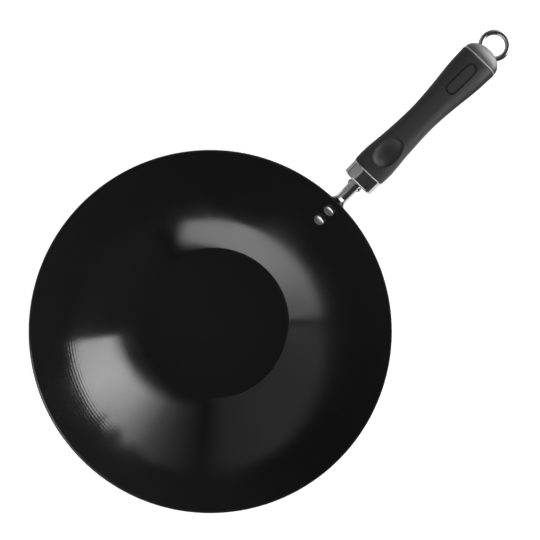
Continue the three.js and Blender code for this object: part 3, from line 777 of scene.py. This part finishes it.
class AddBracket(bpy.types.Operator):
    """Stamps the bracket: a plate along the wall, a channel neck with a spread root, and two stop ears."""

    bl_idname = "wok.add_bracket"
    bl_label = "Add bracket"

    plate_rows = 48
    plate_columns = 14
    neck_steps = 60

    # Width of the rounded edges, as a share of the sheet
    edge_share = 0.22

    # Where the neck starts to spread, and how far it runs on past its root, as shares of the flare's length
    flare_start = 1.5
    root_overrun = 1.2

    def execute(self, context):
        shape = mesh_object("handle_bracket_chromed", self.join())
        soften(shape, handle_sizes().bracket_sheet * self.edge_share)
        finish_piece(shape, chrome_finish(), ["handle_bracket"])
        return {"FINISHED"}

    def join(self):
        """Brings the plate, the neck and the ears together in one bmesh."""
        whole = bmesh.new()
        for part in (self.plate(), self.neck(), self.ear(1), self.ear(-1)):
            mesh = bpy.data.meshes.new("part")
            part.to_mesh(mesh)
            part.free()
            whole.from_mesh(mesh)
            bpy.data.meshes.remove(mesh)
        return whole

    def half_width(self, drop):
        """Half the plate's width at a distance down the wall: round corners, a waist and a round tip."""
        bowl = bowl_sizes()
        handle = handle_sizes()
        tip_at = bowl.rivet_drop + bowl.rivet_pitch
        half = handle.plate_width / 2
        corner = handle.plate_corner
        past = drop - handle.plate_top
        if past < corner:
            return half - corner + math.sqrt(max(corner ** 2 - (corner - past) ** 2, 0))
        if drop > tip_at:
            return math.sqrt(max(handle.plate_tip ** 2 - (drop - tip_at) ** 2, 0))
        first = handle.plate_top + corner
        along = (drop - first) / (tip_at - first)
        ease = along * along * (3 - 2 * along)
        return half + (handle.plate_tip - half) * ease

    def plate(self):
        """A grid cut to the plate's outline, laid along the wall and given its thickness."""
        bowl = bowl_sizes()
        handle = handle_sizes()
        bottom = bowl.rivet_drop + bowl.rivet_pitch + handle.plate_tip
        depth = bottom - handle.plate_top
        offset = bowl.sheet / 2 + handle.seam
        bm = bmesh.new()
        bmesh.ops.create_grid(bm, x_segments=self.plate_rows, y_segments=self.plate_columns, size=1)
        for vert in bm.verts:
            down = (1 - math.cos(math.pi * (vert.co.x + 1) / 2)) / 2
            drop = handle.plate_top + depth * down
            spot = wall_frame(drop, offset).translation
            turn = vert.co.y * max(self.half_width(drop), WELD) / spot.x
            vert.co = Matrix.Rotation(turn, 3, "Z") @ spot
        middle = bm.faces[:][len(bm.faces) // 2]
        thicken(bm, middle, Vector((1, 0, 0)), -handle.bracket_sheet)
        return bm

    def neck(self):
        """The arch of the channel, run along the handle with a spread root and given its thickness."""
        bowl = bowl_sizes()
        handle = handle_sizes()
        half = handle.neck_width / 2
        bm = bmesh.new()
        foot = bm.verts.new((half, 0, -handle.neck_skirt))
        spring = lines_on(bm, foot, (half, 0, 0))
        crown = arc_on(bm, spring, (0, 0, 0), math.pi, ARCH_STEPS)
        lines_on(bm, crown, (-half, 0, -handle.neck_skirt))
        twist(bm, math.pi / 2, "Z")
        shift(bm, (handle.tang_length, 0, 0))
        root = self.root_place()
        ring = bm.edges[:]
        place, wide, high = handle.tang_length, half, half
        for step in range(self.neck_steps + 1):
            away = handle.root_shoulder * (1 - step / self.neck_steps)
            next_wide, next_high = half + self.flare(away), half - self.fall(away)
            verts, ring = extrude(bm, ring)
            stretch(bm, (1, next_wide / wide, 1), verts)
            stretch(bm, (1, 1, next_high / high), [vert for vert in verts if vert.co.z > 0])
            shift(bm, (root + away - place, 0, 0), verts)
            place, wide, high = root + away, next_wide, next_high
        verts, _ = extrude(bm, ring)
        shift(bm, (-handle.flare_length * self.root_overrun, 0, 0), verts)
        top = max(bm.faces, key=lambda face: face.calc_center_median().z)
        thicken(bm, top, Vector((0, 0, 1)), handle.bracket_sheet)
        lay(bm, handle_frame())
        seat = wall_frame(bowl.rivet_drop / 2, bowl.sheet / 2 + handle.seam + handle.bracket_sheet / 2)
        inward = seat.to_3x3() @ Vector((0, 0, 1))
        bmesh.ops.edgenet_fill(bm, edges=cut_off(bm, seat.translation, inward))
        return bm

    def flare(self, away):
        """How far the neck spreads on each side, at a distance from its root."""
        handle = handle_sizes()
        part = min(max(self.flare_start - away / handle.flare_length, 0.0), 1.0)
        return handle.flare_spread * (1 - math.sqrt(1 - part ** 2))

    def fall(self, away):
        """How far the neck's top falls, at a distance from its root."""
        handle = handle_sizes()
        down = handle.root_shoulder - away
        bend = min(down, handle.root_bend)
        return math.tan(handle.root_slope) * (down - bend + bend ** 2 / (2 * handle.root_bend))

    def root_place(self):
        """Where the handle's line meets the wall's outer face, measured along the handle."""
        bowl = bowl_sizes()
        _, sweep, _, _ = wall_arcs()
        radius = bowl.wall_sweep + bowl.sheet / 2
        origin = handle_frame().translation
        start = Vector((origin.x, origin.z)) - sweep
        direction = Vector((math.cos(handle_sizes().rise), math.sin(handle_sizes().rise)))
        along = start.dot(direction)
        return -along + math.sqrt(along ** 2 - start.length_squared + radius ** 2)

    def ear(self, side):
        """A stop ear: a short round post with a domed top."""
        handle = handle_sizes()
        bm = bmesh.new()
        rim = bm.verts.new((handle.ear_radius, 0, 0))
        arc_on(bm, rim, (0, 0, 0), math.pi / 2, EDGE_STEPS * 2)
        lines_on(bm, rim, (handle.ear_radius, 0, -handle.ear_skirt), (0, 0, -handle.ear_skirt))
        turn_profile(bm, TURN_STEPS // 2)
        shift(bm, (-handle.ear_radius - handle.seam, side * handle.ear_spacing / 2, 0))
        lay(bm, handle_frame())
        return bm


class AddFerrule(bpy.types.Operator):
    """Draws the ferrule: an oval cup with a rounded front edge, a rear bead and an opening for the neck."""

    bl_idname = "wok.add_ferrule"
    bl_label = "Add ferrule"

    # The opening's start before the ferrule, and its depth as a share of the ferrule's length
    opening_start = -0.01
    opening_share = 0.8

    def execute(self, context):
        handle = handle_sizes()
        wide, high, edge = handle.ferrule_width, handle.ferrule_height, handle.ferrule_edge
        bead = handle.ferrule_bead
        sections = []
        for step in range(EDGE_STEPS + 1):
            turn = math.pi / 2 * step / EDGE_STEPS
            inset = 2 * edge * (1 - math.sin(turn))
            sections.append((edge * (1 - math.cos(turn)), wide - inset, high - inset))
        for step in range(2 * EDGE_STEPS + 1):
            turn = math.pi / 2 * step / EDGE_STEPS
            proud = 2 * bead * math.sin(turn)
            sections.append((handle.ferrule_length - bead * (1 + math.cos(turn)), wide + proud, high + proud))
        bm = bmesh.new()
        oval_loft(bm, sections)
        shape = mesh_object("ferrule_chromed", bm)
        carve(shape, self.opening())
        shape.data.transform(handle_frame())
        finish_piece(shape, chrome_finish(), ["ferrule"])
        return {"FINISHED"}

    def opening(self):
        """A closed bar with the neck's arch section, along the handle."""
        handle = handle_sizes()
        half = handle.neck_width / 2 + handle.seam
        skirt = handle.neck_skirt + handle.seam
        bm = bmesh.new()
        foot = bm.verts.new((half, 0, 0))
        spring = arc_on(bm, foot, (0, 0, 0), math.pi, ARCH_STEPS)
        low = lines_on(bm, spring, (-half, 0, -skirt), (half, 0, -skirt))
        bm.edges.new((low, foot))
        twist(bm, math.pi / 2, "Z")
        shift(bm, (self.opening_start, 0, 0))
        face = bmesh.ops.contextual_create(bm, geom=bm.edges[:])["faces"]
        push(bm, face, (handle.ferrule_length * self.opening_share - self.opening_start, 0, 0))
        return bm


class AddGrip(bpy.types.Operator):
    """Moulds the grip: a lofted body with a thumb dish and a bare stadium recess."""

    bl_idname = "wok.add_grip"
    bl_label = "Add grip"

    # Stations along the grip as (place from the front, width, height) in metres
    stations = (
        (0.0, 0.0357, 0.0264),
        (0.015, 0.03575, 0.0264),
        (0.038, 0.0313, 0.0236),
        (0.070, 0.02825, 0.0220),
        (0.097, 0.03155, 0.0238),
        (0.120, 0.0365, 0.0268),
        (0.141, 0.0385, 0.0280),
    )
    shoulder = stations[1][2] / 2
    edge = 0.0006
    bisections = 40

    def section(self, along):
        """A smooth curve through the stations, at a share of the way along."""
        last = len(self.stations) - 1
        here = min(int(along * last), last - 1)
        part = along * last - here
        before, first, second, after = (
            Vector(self.stations[min(max(here + step, 0), last)]) for step in (-1, 0, 1, 2)
        )
        leave = (second - before) / 2
        arrive = (after - first) / 2
        return (
            (2 * first - 2 * second + leave + arrive) * part ** 3
            + (3 * second - 3 * first - 2 * leave - arrive) * part ** 2 + leave * part + first
        )

    def execute(self, context):
        sections = []
        for step in range(GRIP_STEPS + 1):
            place, wide, high = self.section(step / GRIP_STEPS)
            sections.append((grip_front() + place, wide, high))
        for end, inward in ((0, self.edge), (-1, -self.edge)):
            place, wide, high = sections[end]
            sections[end] = (place + inward, wide, high)
            face = (place, wide - 2 * self.edge, high - 2 * self.edge)
            sections.insert(0 if end == 0 else len(sections), face)
        bm = bmesh.new()
        oval_loft(bm, sections)
        shape = mesh_object("grip_moulded", bm)
        carve(shape, self.dish())
        carve(shape, self.recess())
        shape.data.transform(handle_frame())
        finish_piece(shape, phenolic_finish(), ["grip"])
        return {"FINISHED"}

    def dish(self):
        """An oval whose front and rear have their own lengths."""
        handle = handle_sizes()
        bm = bmesh.new()
        bmesh.ops.create_uvsphere(bm, u_segments=TURN_STEPS, v_segments=TURN_STEPS // 2, radius=1.0)
        for vert in bm.verts:
            vert.co.x *= handle.thumb_rear if vert.co.x > 0 else handle.thumb_front
        stretch(bm, (1, handle.thumb_spread / 2, handle.thumb_depth))
        shift(bm, (grip_front() + handle.thumb_at, 0, self.shoulder))
        return bm

    def recess(self):
        """A groove round a bare stadium, its floor along the grip's top."""
        handle = handle_sizes()
        radius = handle.plaque_width / 2
        half = handle.plaque_length / 2 - radius
        bm = bmesh.new()
        for size in (radius, radius - handle.plaque_groove):
            for vert in bmesh.ops.create_circle(bm, segments=TURN_STEPS, radius=size)["verts"]:
                vert.co.x += math.copysign(half, vert.co.x)
        bmesh.ops.bridge_loops(bm, edges=bm.edges[:])
        push(bm, bm.faces[:], (0, 0, handle.plaque_width))
        middle = handle.grip_length - handle.plaque_from_rear
        low = self.section_at(middle - half)
        high = self.section_at(middle + half)
        tilt = math.atan2((high.z - low.z) / 2, high.x - low.x)
        floor = (high.z + low.z) / 4 - handle.plaque_depth
        lay(bm, Matrix.Translation((grip_front() + middle, 0, floor)) @ Matrix.Rotation(-tilt, 4, "Y"))
        return bm

    def section_at(self, place):
        """The section at a distance from the grip's front."""
        low, high = 0.0, 1.0
        for _ in range(self.bisections):
            middle = (low + high) / 2
            if self.section(middle).x < place:
                low = middle
            else:
                high = middle
        return self.section(low)


class AddCap(bpy.types.Operator):
    """Casts the end cap: a thin lip, a dome and the slots that the ring's legs come out of."""

    bl_idname = "wok.add_cap"
    bl_label = "Add end cap"

    # Chamfer of the lip, as a share of its length, and the turn at which the dome ends in a small flat
    lip_edge = 0.25
    dome_turn = math.radians(88.5)

    # A slot's play above and below the wire, and its place, start and length as shares of the ring's
    # setback, wire and diameter
    slot_play = 0.0009
    slot_place = 0.6
    slot_start = 0.8
    slot_length = 0.5

    def execute(self, context):
        handle = handle_sizes()
        front, dome = cap_front(), dome_front()
        edge = handle.lip_length * self.lip_edge
        full = handle.lip_width, handle.lip_height
        slim = [size - 2 * edge for size in full]
        sections = [(front, *slim), (front + edge, *full), (dome - edge, *full), (dome, *slim)]
        for step in range(DOME_STEPS + 1):
            turn = self.dome_turn * step / DOME_STEPS
            place = dome + WELD + handle.dome_length * math.sin(turn)
            sections.append((place, handle.dome_width * math.cos(turn), handle.dome_height * math.cos(turn)))
        bm = bmesh.new()
        oval_loft(bm, sections)
        shape = mesh_object("end_cap_satin", bm)
        for cutter in (self.bore(), self.leg_slot(1), self.leg_slot(-1)):
            carve(shape, cutter)
        shape.data.transform(handle_frame())
        finish_piece(shape, satin_finish(), ["end_cap"])
        return {"FINISHED"}

    def bore(self):
        """The cross bore that the ring's flat side turns in."""
        handle = handle_sizes()
        radius = handle.ring_wire / 2 + handle.seam
        bm = bmesh.new()
        bmesh.ops.create_cone(
            bm, cap_ends=True, segments=TURN_STEPS // 2, radius1=radius, radius2=radius,
            depth=2 * ring_half_flat() + handle.ring_wire,
            matrix=Matrix.Translation((ring_hinge(), 0, 0)) @ Matrix.Rotation(math.pi / 2, 4, "X"),
        )
        return bm

    def leg_slot(self, side):
        """A slot along one leg of the ring, as high as the ring's swing needs."""
        handle = handle_sizes()
        out = handle.ring_setback * self.slot_place
        aside = math.sqrt(ring_radius() ** 2 - (handle.ring_flat - out) ** 2)
        lean = math.atan2(handle.ring_flat - out, aside)
        bm = bmesh.new()
        verts = bmesh.ops.create_circle(
            bm, segments=TURN_STEPS // 2, radius=handle.ring_wire / 2 + handle.seam, cap_ends=True
        )["verts"]
        for vert in verts:
            vert.co.y += math.copysign(self.slot_play, vert.co.y)
        twist(bm, math.pi / 2, "Z")
        twist(bm, math.pi / 2, "Y")
        shift(bm, (-handle.ring_wire * self.slot_start, 0, 0))
        push(bm, bm.faces[:], (handle.ring_diameter * self.slot_length, 0, 0))
        place = Matrix.Translation((ring_hinge() + out, side * aside, 0))
        lay(bm, place @ Matrix.Rotation(side * lean, 4, "Z"))
        return bm


class AddRing(bpy.types.Operator):
    """Bends the ring: a round wire swept round, with a flat side that turns in the cap."""

    bl_idname = "wok.add_ring"
    bl_label = "Add hanging ring"

    def execute(self, context):
        handle = handle_sizes()
        half_turn = math.pi - math.asin(ring_half_flat() / ring_radius())
        bm = bmesh.new()
        bmesh.ops.create_circle(bm, segments=TURN_STEPS // 2, radius=handle.ring_wire / 2)
        twist(bm, math.pi / 2, "X")
        shift(bm, (ring_radius(), 0, 0))
        twist(bm, -half_turn, "Z")
        first = bm.edges[:]
        last = spin(bm, first, 2 * half_turn, RING_STEPS)
        for ring, side in ((first, -1), (last, 1)):
            self.flat_side(bm, ring, side)
        shift(bm, (handle.ring_flat, 0, 0))
        lay(bm, Matrix.Translation((ring_hinge(), 0, 0)) @ Matrix.Rotation(handle.ring_droop, 4, "Y"))
        lay(bm, handle_frame())
        shape = mesh_object("hang_ring_wire", bm)
        finish_piece(shape, wire_finish(), ["hang_ring"], body="ring")
        return {"FINISHED"}

    def flat_side(self, bm, ring, side):
        """Runs one end of the wire into the middle of the flat side and closes it."""
        handle = handle_sizes()
        verts, edges = extrude(bm, ring)
        middle = sum((vert.co for vert in verts), Vector()) / len(verts)
        shift(bm, -middle, verts)
        twist(bm, side * math.pi - math.atan2(middle.y, middle.x), "Z", verts)
        shift(bm, (-handle.ring_flat, side * handle.seam / 2, 0), verts)
        bmesh.ops.contextual_create(bm, geom=edges)


class DressFasteners(bpy.types.Operator):
    """Gives the hidden nut, bolt and washers their zinc plate."""

    bl_idname = "wok.dress_fasteners"
    bl_label = "Dress fasteners"

    def execute(self, context):
        material = zinc_finish()
        for name in ("tang_nut", "tie_bolt", "flat_washer", "spring_washer"):
            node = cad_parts[name]
            node.data.materials.clear()
            node.data.materials.append(material)
        return {"FINISHED"}


class AddStudio(bpy.types.Operator):
    """Sets the floor, the room, the light panels, the flags, the spots and the camera."""

    bl_idname = "wok.add_studio"
    bl_label = "Add studio"

    floor_size = 60.0
    floor_gap = 0.0002
    floor_gloss = 0.9

    # Sine of the height up to which the room is pale in reflections
    pale_height = 0.05

    # Middle and distance of the light panels
    aim = Vector((0.0, 0.0, 0.05))
    panel_distance = 1.3
    panel_steps = 10

    # Light panels: turns in the picture and angles from overhead in degrees, the brightness, and how it runs
    # along and down the panel as (place, share) stops; lean and slope shift the stops at a run's two ends
    panels = (
        {
            "name": "long_panel", "turns": (189.5, 299), "tilts": (36, 71), "brightness": 3.4,
            "along": (
                (0.0, 0.4), (0.05, 0.46), (0.19, 0.74), (0.33, 0.92), (0.6, 1.0), (0.74, 0.93), (0.82, 0.88),
                (0.875, 0.0),
            ),
            "down": ((0.68, 0.0), (0.78, 1.0)),
            "lean": (-0.137, 0.0), "slope": (0.77, 0.0),
        },
        {
            "name": "key_panel", "turns": (1, 88), "tilts": (46, 90), "brightness": 7.5,
            "along": (
                (0.0, 0.77), (0.1, 0.87), (0.22, 0.95), (0.33, 0.81), (0.45, 0.63), (0.56, 0.34),
                (0.68, 0.11), (0.79, 0.045), (0.91, 0.015), (1.0, 0.0),
            ),
            "down": ((0.2, 0.0), (0.31, 1.0), (0.6, 0.97), (1.0, 0.9)),
            "lean": (0.0, 0.0), "slope": (0.0, 0.245),
        },
        {
            "name": "grey_board", "turns": (88, 187), "tilts": (15, 90), "brightness": 0.465,
            "along": (
                (0.0, 0.05), (0.12, 0.5), (0.32, 0.66), (0.55, 0.7), (0.77, 0.8), (0.92, 0.95), (0.97, 1.0),
                (1.0, 0.3),
            ),
            "down": ((0.0, 1.0), (0.88, 1.0), (0.98, 0.2)),
            "lean": (0.0, 0.0), "slope": (0.0, 0.29),
        },
    )

    # Flags beside the handle that its metal mirrors: name, place aside, reach along the handle, and the
    # brightness from foot to top as (place, brightness) stops
    flags = (
        ("left_flag", 0.06, (-0.02, 0.2), ((0.0, 0.45), (1.0, 0.45))),
        (
            "right_flag", -0.055, (0.1, 0.22),
            ((0.0, 0.05), (0.2, 0.1), (0.46, 0.13), (0.52, 0.03), (0.66, 0.03), (0.72, 0.11), (1.0, 0.11)),
        ),
    )
    flag_height = 0.085
    flag_drop = 0.0325

    # Spots on the grip: name, setting of their power, cone in degrees, place, and the station they light
    spots = (
        ("side_spot", "side_power", 16, Vector((0.45, -0.8, 0.7)), 0.165),
        ("end_spot", "end_power", 8, Vector((0.75, 0.2, 0.75)), 0.036),
    )
    spot_softness = 0.15
    sensor_width = 36.0

    def execute(self, context):
        studio = context.scene.wok_studio
        self.lay_floor(studio)
        self.light_room(context.scene, studio)
        for panel in self.panels:
            self.hang_panel(studio, **panel)
        for flag in self.flags:
            self.stand_flag(*flag)
        for spot in self.spots:
            self.aim_spot(context.scene, studio, *spot)
        self.place_camera(context.scene, studio)
        context.scene.view_settings.view_transform = "Standard"
        return {"FINISHED"}

    def lay_floor(self, studio):
        """A pale floor that turns white for the camera and for reflections, and keeps the shadow."""
        bm = bmesh.new()
        bmesh.ops.create_grid(bm, x_segments=1, y_segments=1, size=self.floor_size)
        shift(bm, (0, 0, -self.floor_gap))
        floor = mesh_object("floor", bm)
        finish = glow_finish("floor_paper", studio.floor, self.floor_gloss)
        path = finish.add("LightPath")
        seen = finish.math("MAXIMUM", path["Is Camera Ray"], path["Is Glossy Ray"])
        seen = finish.math("MAXIMUM", seen, path["Is Transmission Ray"])
        finish.shade({"Emission Strength": finish.math("MULTIPLY", seen, studio.floor_glow)})
        floor.data.materials.append(finish.material)

    def light_room(self, scene, studio):
        """An even, dim room that is white to the camera, and to reflections low down."""
        world = bpy.data.worlds.new("room")
        world.use_nodes = True
        room = NodeTree(world.node_tree)
        path = room.add("LightPath")
        height = room.axis("Z", room.add("TexCoord")["Generated"])
        low = room.spread(height, 1.0, 0.0, 0.0, self.pale_height)
        mirrored = room.math("MAXIMUM", path["Is Glossy Ray"], path["Is Transmission Ray"])
        seen = room.math("MAXIMUM", path["Is Camera Ray"], room.math("MULTIPLY", mirrored, low))
        light = {"Color": (1, 1, 1, 1), "Strength": room.spread(seen, studio.room, 1.0)}
        room.feed(room.nodes["Background"], light)
        scene.world = world

    def hang_panel(self, studio, name, turns, tilts, **light):
        """A curved panel of soft light that faces the bowl and stays out of the picture."""
        turns = [math.radians(turn) - studio.view_turn for turn in turns]
        tilts = [math.radians(tilt) for tilt in tilts]
        bm = bmesh.new()
        upper = Vector((math.sin(tilts[0]), 0, math.cos(tilts[0]))) * self.panel_distance
        arc_on(bm, bm.verts.new(self.aim + upper), self.aim, tilts[0] - tilts[1], self.panel_steps)
        twist(bm, turns[0], "Z")
        spin(bm, bm.verts[:] + bm.edges[:], turns[1] - turns[0], self.panel_steps)
        panel = mesh_object(name, bm)
        panel.visible_camera = False
        heights = [self.aim.z + self.panel_distance * math.cos(tilt) for tilt in tilts]
        panel.data.materials.append(self.panel_light(name, turns, heights, **light))

    def panel_light(self, name, turns, heights, brightness, along, down, lean, slope):
        """White light whose brightness follows the stops along and down a panel."""
        finish = glow_finish(name)
        ahead = finish.mapped(turn=(0, 0, -sum(turns) / 2))
        turned = finish.add("TexGradient", {"Vector": ahead}, gradient_type="RADIAL")["Fac"]
        height = finish.axis("Z", finish.coordinates)
        reach = (turns[1] - turns[0]) / (4 * math.pi)
        ends = 0.5 - reach, 0.5 + reach
        run = finish.spread(turned, 0.0, 1.0, *ends)
        run = finish.math("ADD", run, finish.spread(height, *lean, *heights))
        fall = finish.spread(height, 0.0, 1.0, *heights)
        fall = finish.math("ADD", fall, finish.spread(turned, *slope, *ends))
        glow = finish.math("MULTIPLY", finish.ramp(run, along), finish.ramp(fall, down))
        finish.shade({"Emission Strength": finish.math("MULTIPLY", glow, brightness)})
        return finish.material

    def stand_flag(self, name, aside, reach, stops):
        """A small flag beside the handle, seen in its gloss alone."""
        bm = bmesh.new()
        bmesh.ops.create_grid(bm, x_segments=1, y_segments=1, size=0.5)
        stretch(bm, (reach[1] - reach[0], self.flag_height, 1))
        twist(bm, math.pi / 2, "X")
        shift(bm, (sum(reach) / 2, aside, -self.flag_drop))
        flag = mesh_object(name, bm)
        flag.data.transform(handle_frame())
        flag.visible_camera = False
        flag.visible_diffuse = False
        flag.visible_shadow = False
        finish = glow_finish(name)
        foot = -self.flag_drop - self.flag_height / 2
        up = finish.axis("Z", finish.on_handle())
        height = finish.spread(up, 0.0, 1.0, foot, foot + self.flag_height)
        finish.shade({"Emission Strength": finish.ramp(height, stops)})
        flag.data.materials.append(finish.material)

    def aim_spot(self, scene, studio, name, setting, cone, place, station):
        """A narrow, soft spot that lights the grip alone."""
        light = bpy.data.lights.new(name, "SPOT")
        light.energy = getattr(studio, setting)
        light.spot_size = math.radians(cone)
        light.spot_blend = 1.0
        light.shadow_soft_size = self.spot_softness
        lamp = bpy.data.objects.new(name, light)
        target = handle_frame() @ Vector((station, 0, 0))
        turn = (target - place).to_track_quat("-Z", "Y").to_matrix().to_4x4()
        lamp.matrix_world = Matrix.Translation(place) @ turn
        lit = bpy.data.collections.new(name)
        lit.objects.link(scene.objects["grip_moulded"])
        lamp.light_linking.receiver_collection = lit
        scene.collection.objects.link(lamp)

    def place_camera(self, scene, studio):
        """A camera that looks straight down, turned as the picture is."""
        lens = bpy.data.cameras.new("camera")
        lens.lens = studio.lens
        lens.sensor_width = self.sensor_width
        lens.shift_x = studio.shift_x
        lens.shift_y = studio.shift_y
        camera = bpy.data.objects.new("camera", lens)
        place = Matrix.Translation((studio.camera_along, studio.camera_across, studio.camera_height))
        camera.matrix_world = place @ Matrix.Rotation(-studio.view_turn, 4, "Z")
        scene.collection.objects.link(camera)
        scene.camera = camera


class WokPanel(bpy.types.Panel):
    """Lists the wok's sizes, finishes and pieces."""

    bl_idname = "VIEW3D_PT_wok"
    bl_label = "Wok"
    bl_space_type = "VIEW_3D"
    bl_region_type = "UI"
    bl_category = "Wok"

    def draw(self, context):
        layout = self.layout
        for name in SETTINGS:
            settings = getattr(context.scene, name)
            box = layout.box()
            for key in settings.__annotations__:
                box.prop(settings, key)
        for operator in PIECES:
            layout.operator(operator.bl_idname)


SETTINGS = {
    "wok_bowl": WokBowl,
    "wok_handle": WokHandle,
    "wok_finish": WokFinish,
    "wok_studio": WokStudio,
}
PIECES = (
    AddBowl, AddRivets, AddBracket, AddFerrule, AddGrip, AddCap, AddRing, DressFasteners, AddStudio,
)


def register():
    for group in SETTINGS.values():
        bpy.utils.register_class(group)
    for name, group in SETTINGS.items():
        setattr(bpy.types.Scene, name, PointerProperty(type=group))
    for operator in PIECES:
        bpy.utils.register_class(operator)
    bpy.utils.register_class(WokPanel)


def unregister():
    bpy.utils.unregister_class(WokPanel)
    for operator in reversed(PIECES):
        bpy.utils.unregister_class(operator)
    for name, group in SETTINGS.items():
        delattr(bpy.types.Scene, name)
        bpy.utils.unregister_class(group)


def main():
    """Builds every piece and the stage."""
    register()
    bpy.ops.wok.add_bowl()
    bpy.ops.wok.add_rivets()
    bpy.ops.wok.add_bracket()
    bpy.ops.wok.add_ferrule()
    bpy.ops.wok.add_grip()
    bpy.ops.wok.add_cap()
    bpy.ops.wok.add_ring()
    bpy.ops.wok.dress_fasteners()
    bpy.ops.wok.add_studio()


if __name__ == "__main__":
    main()
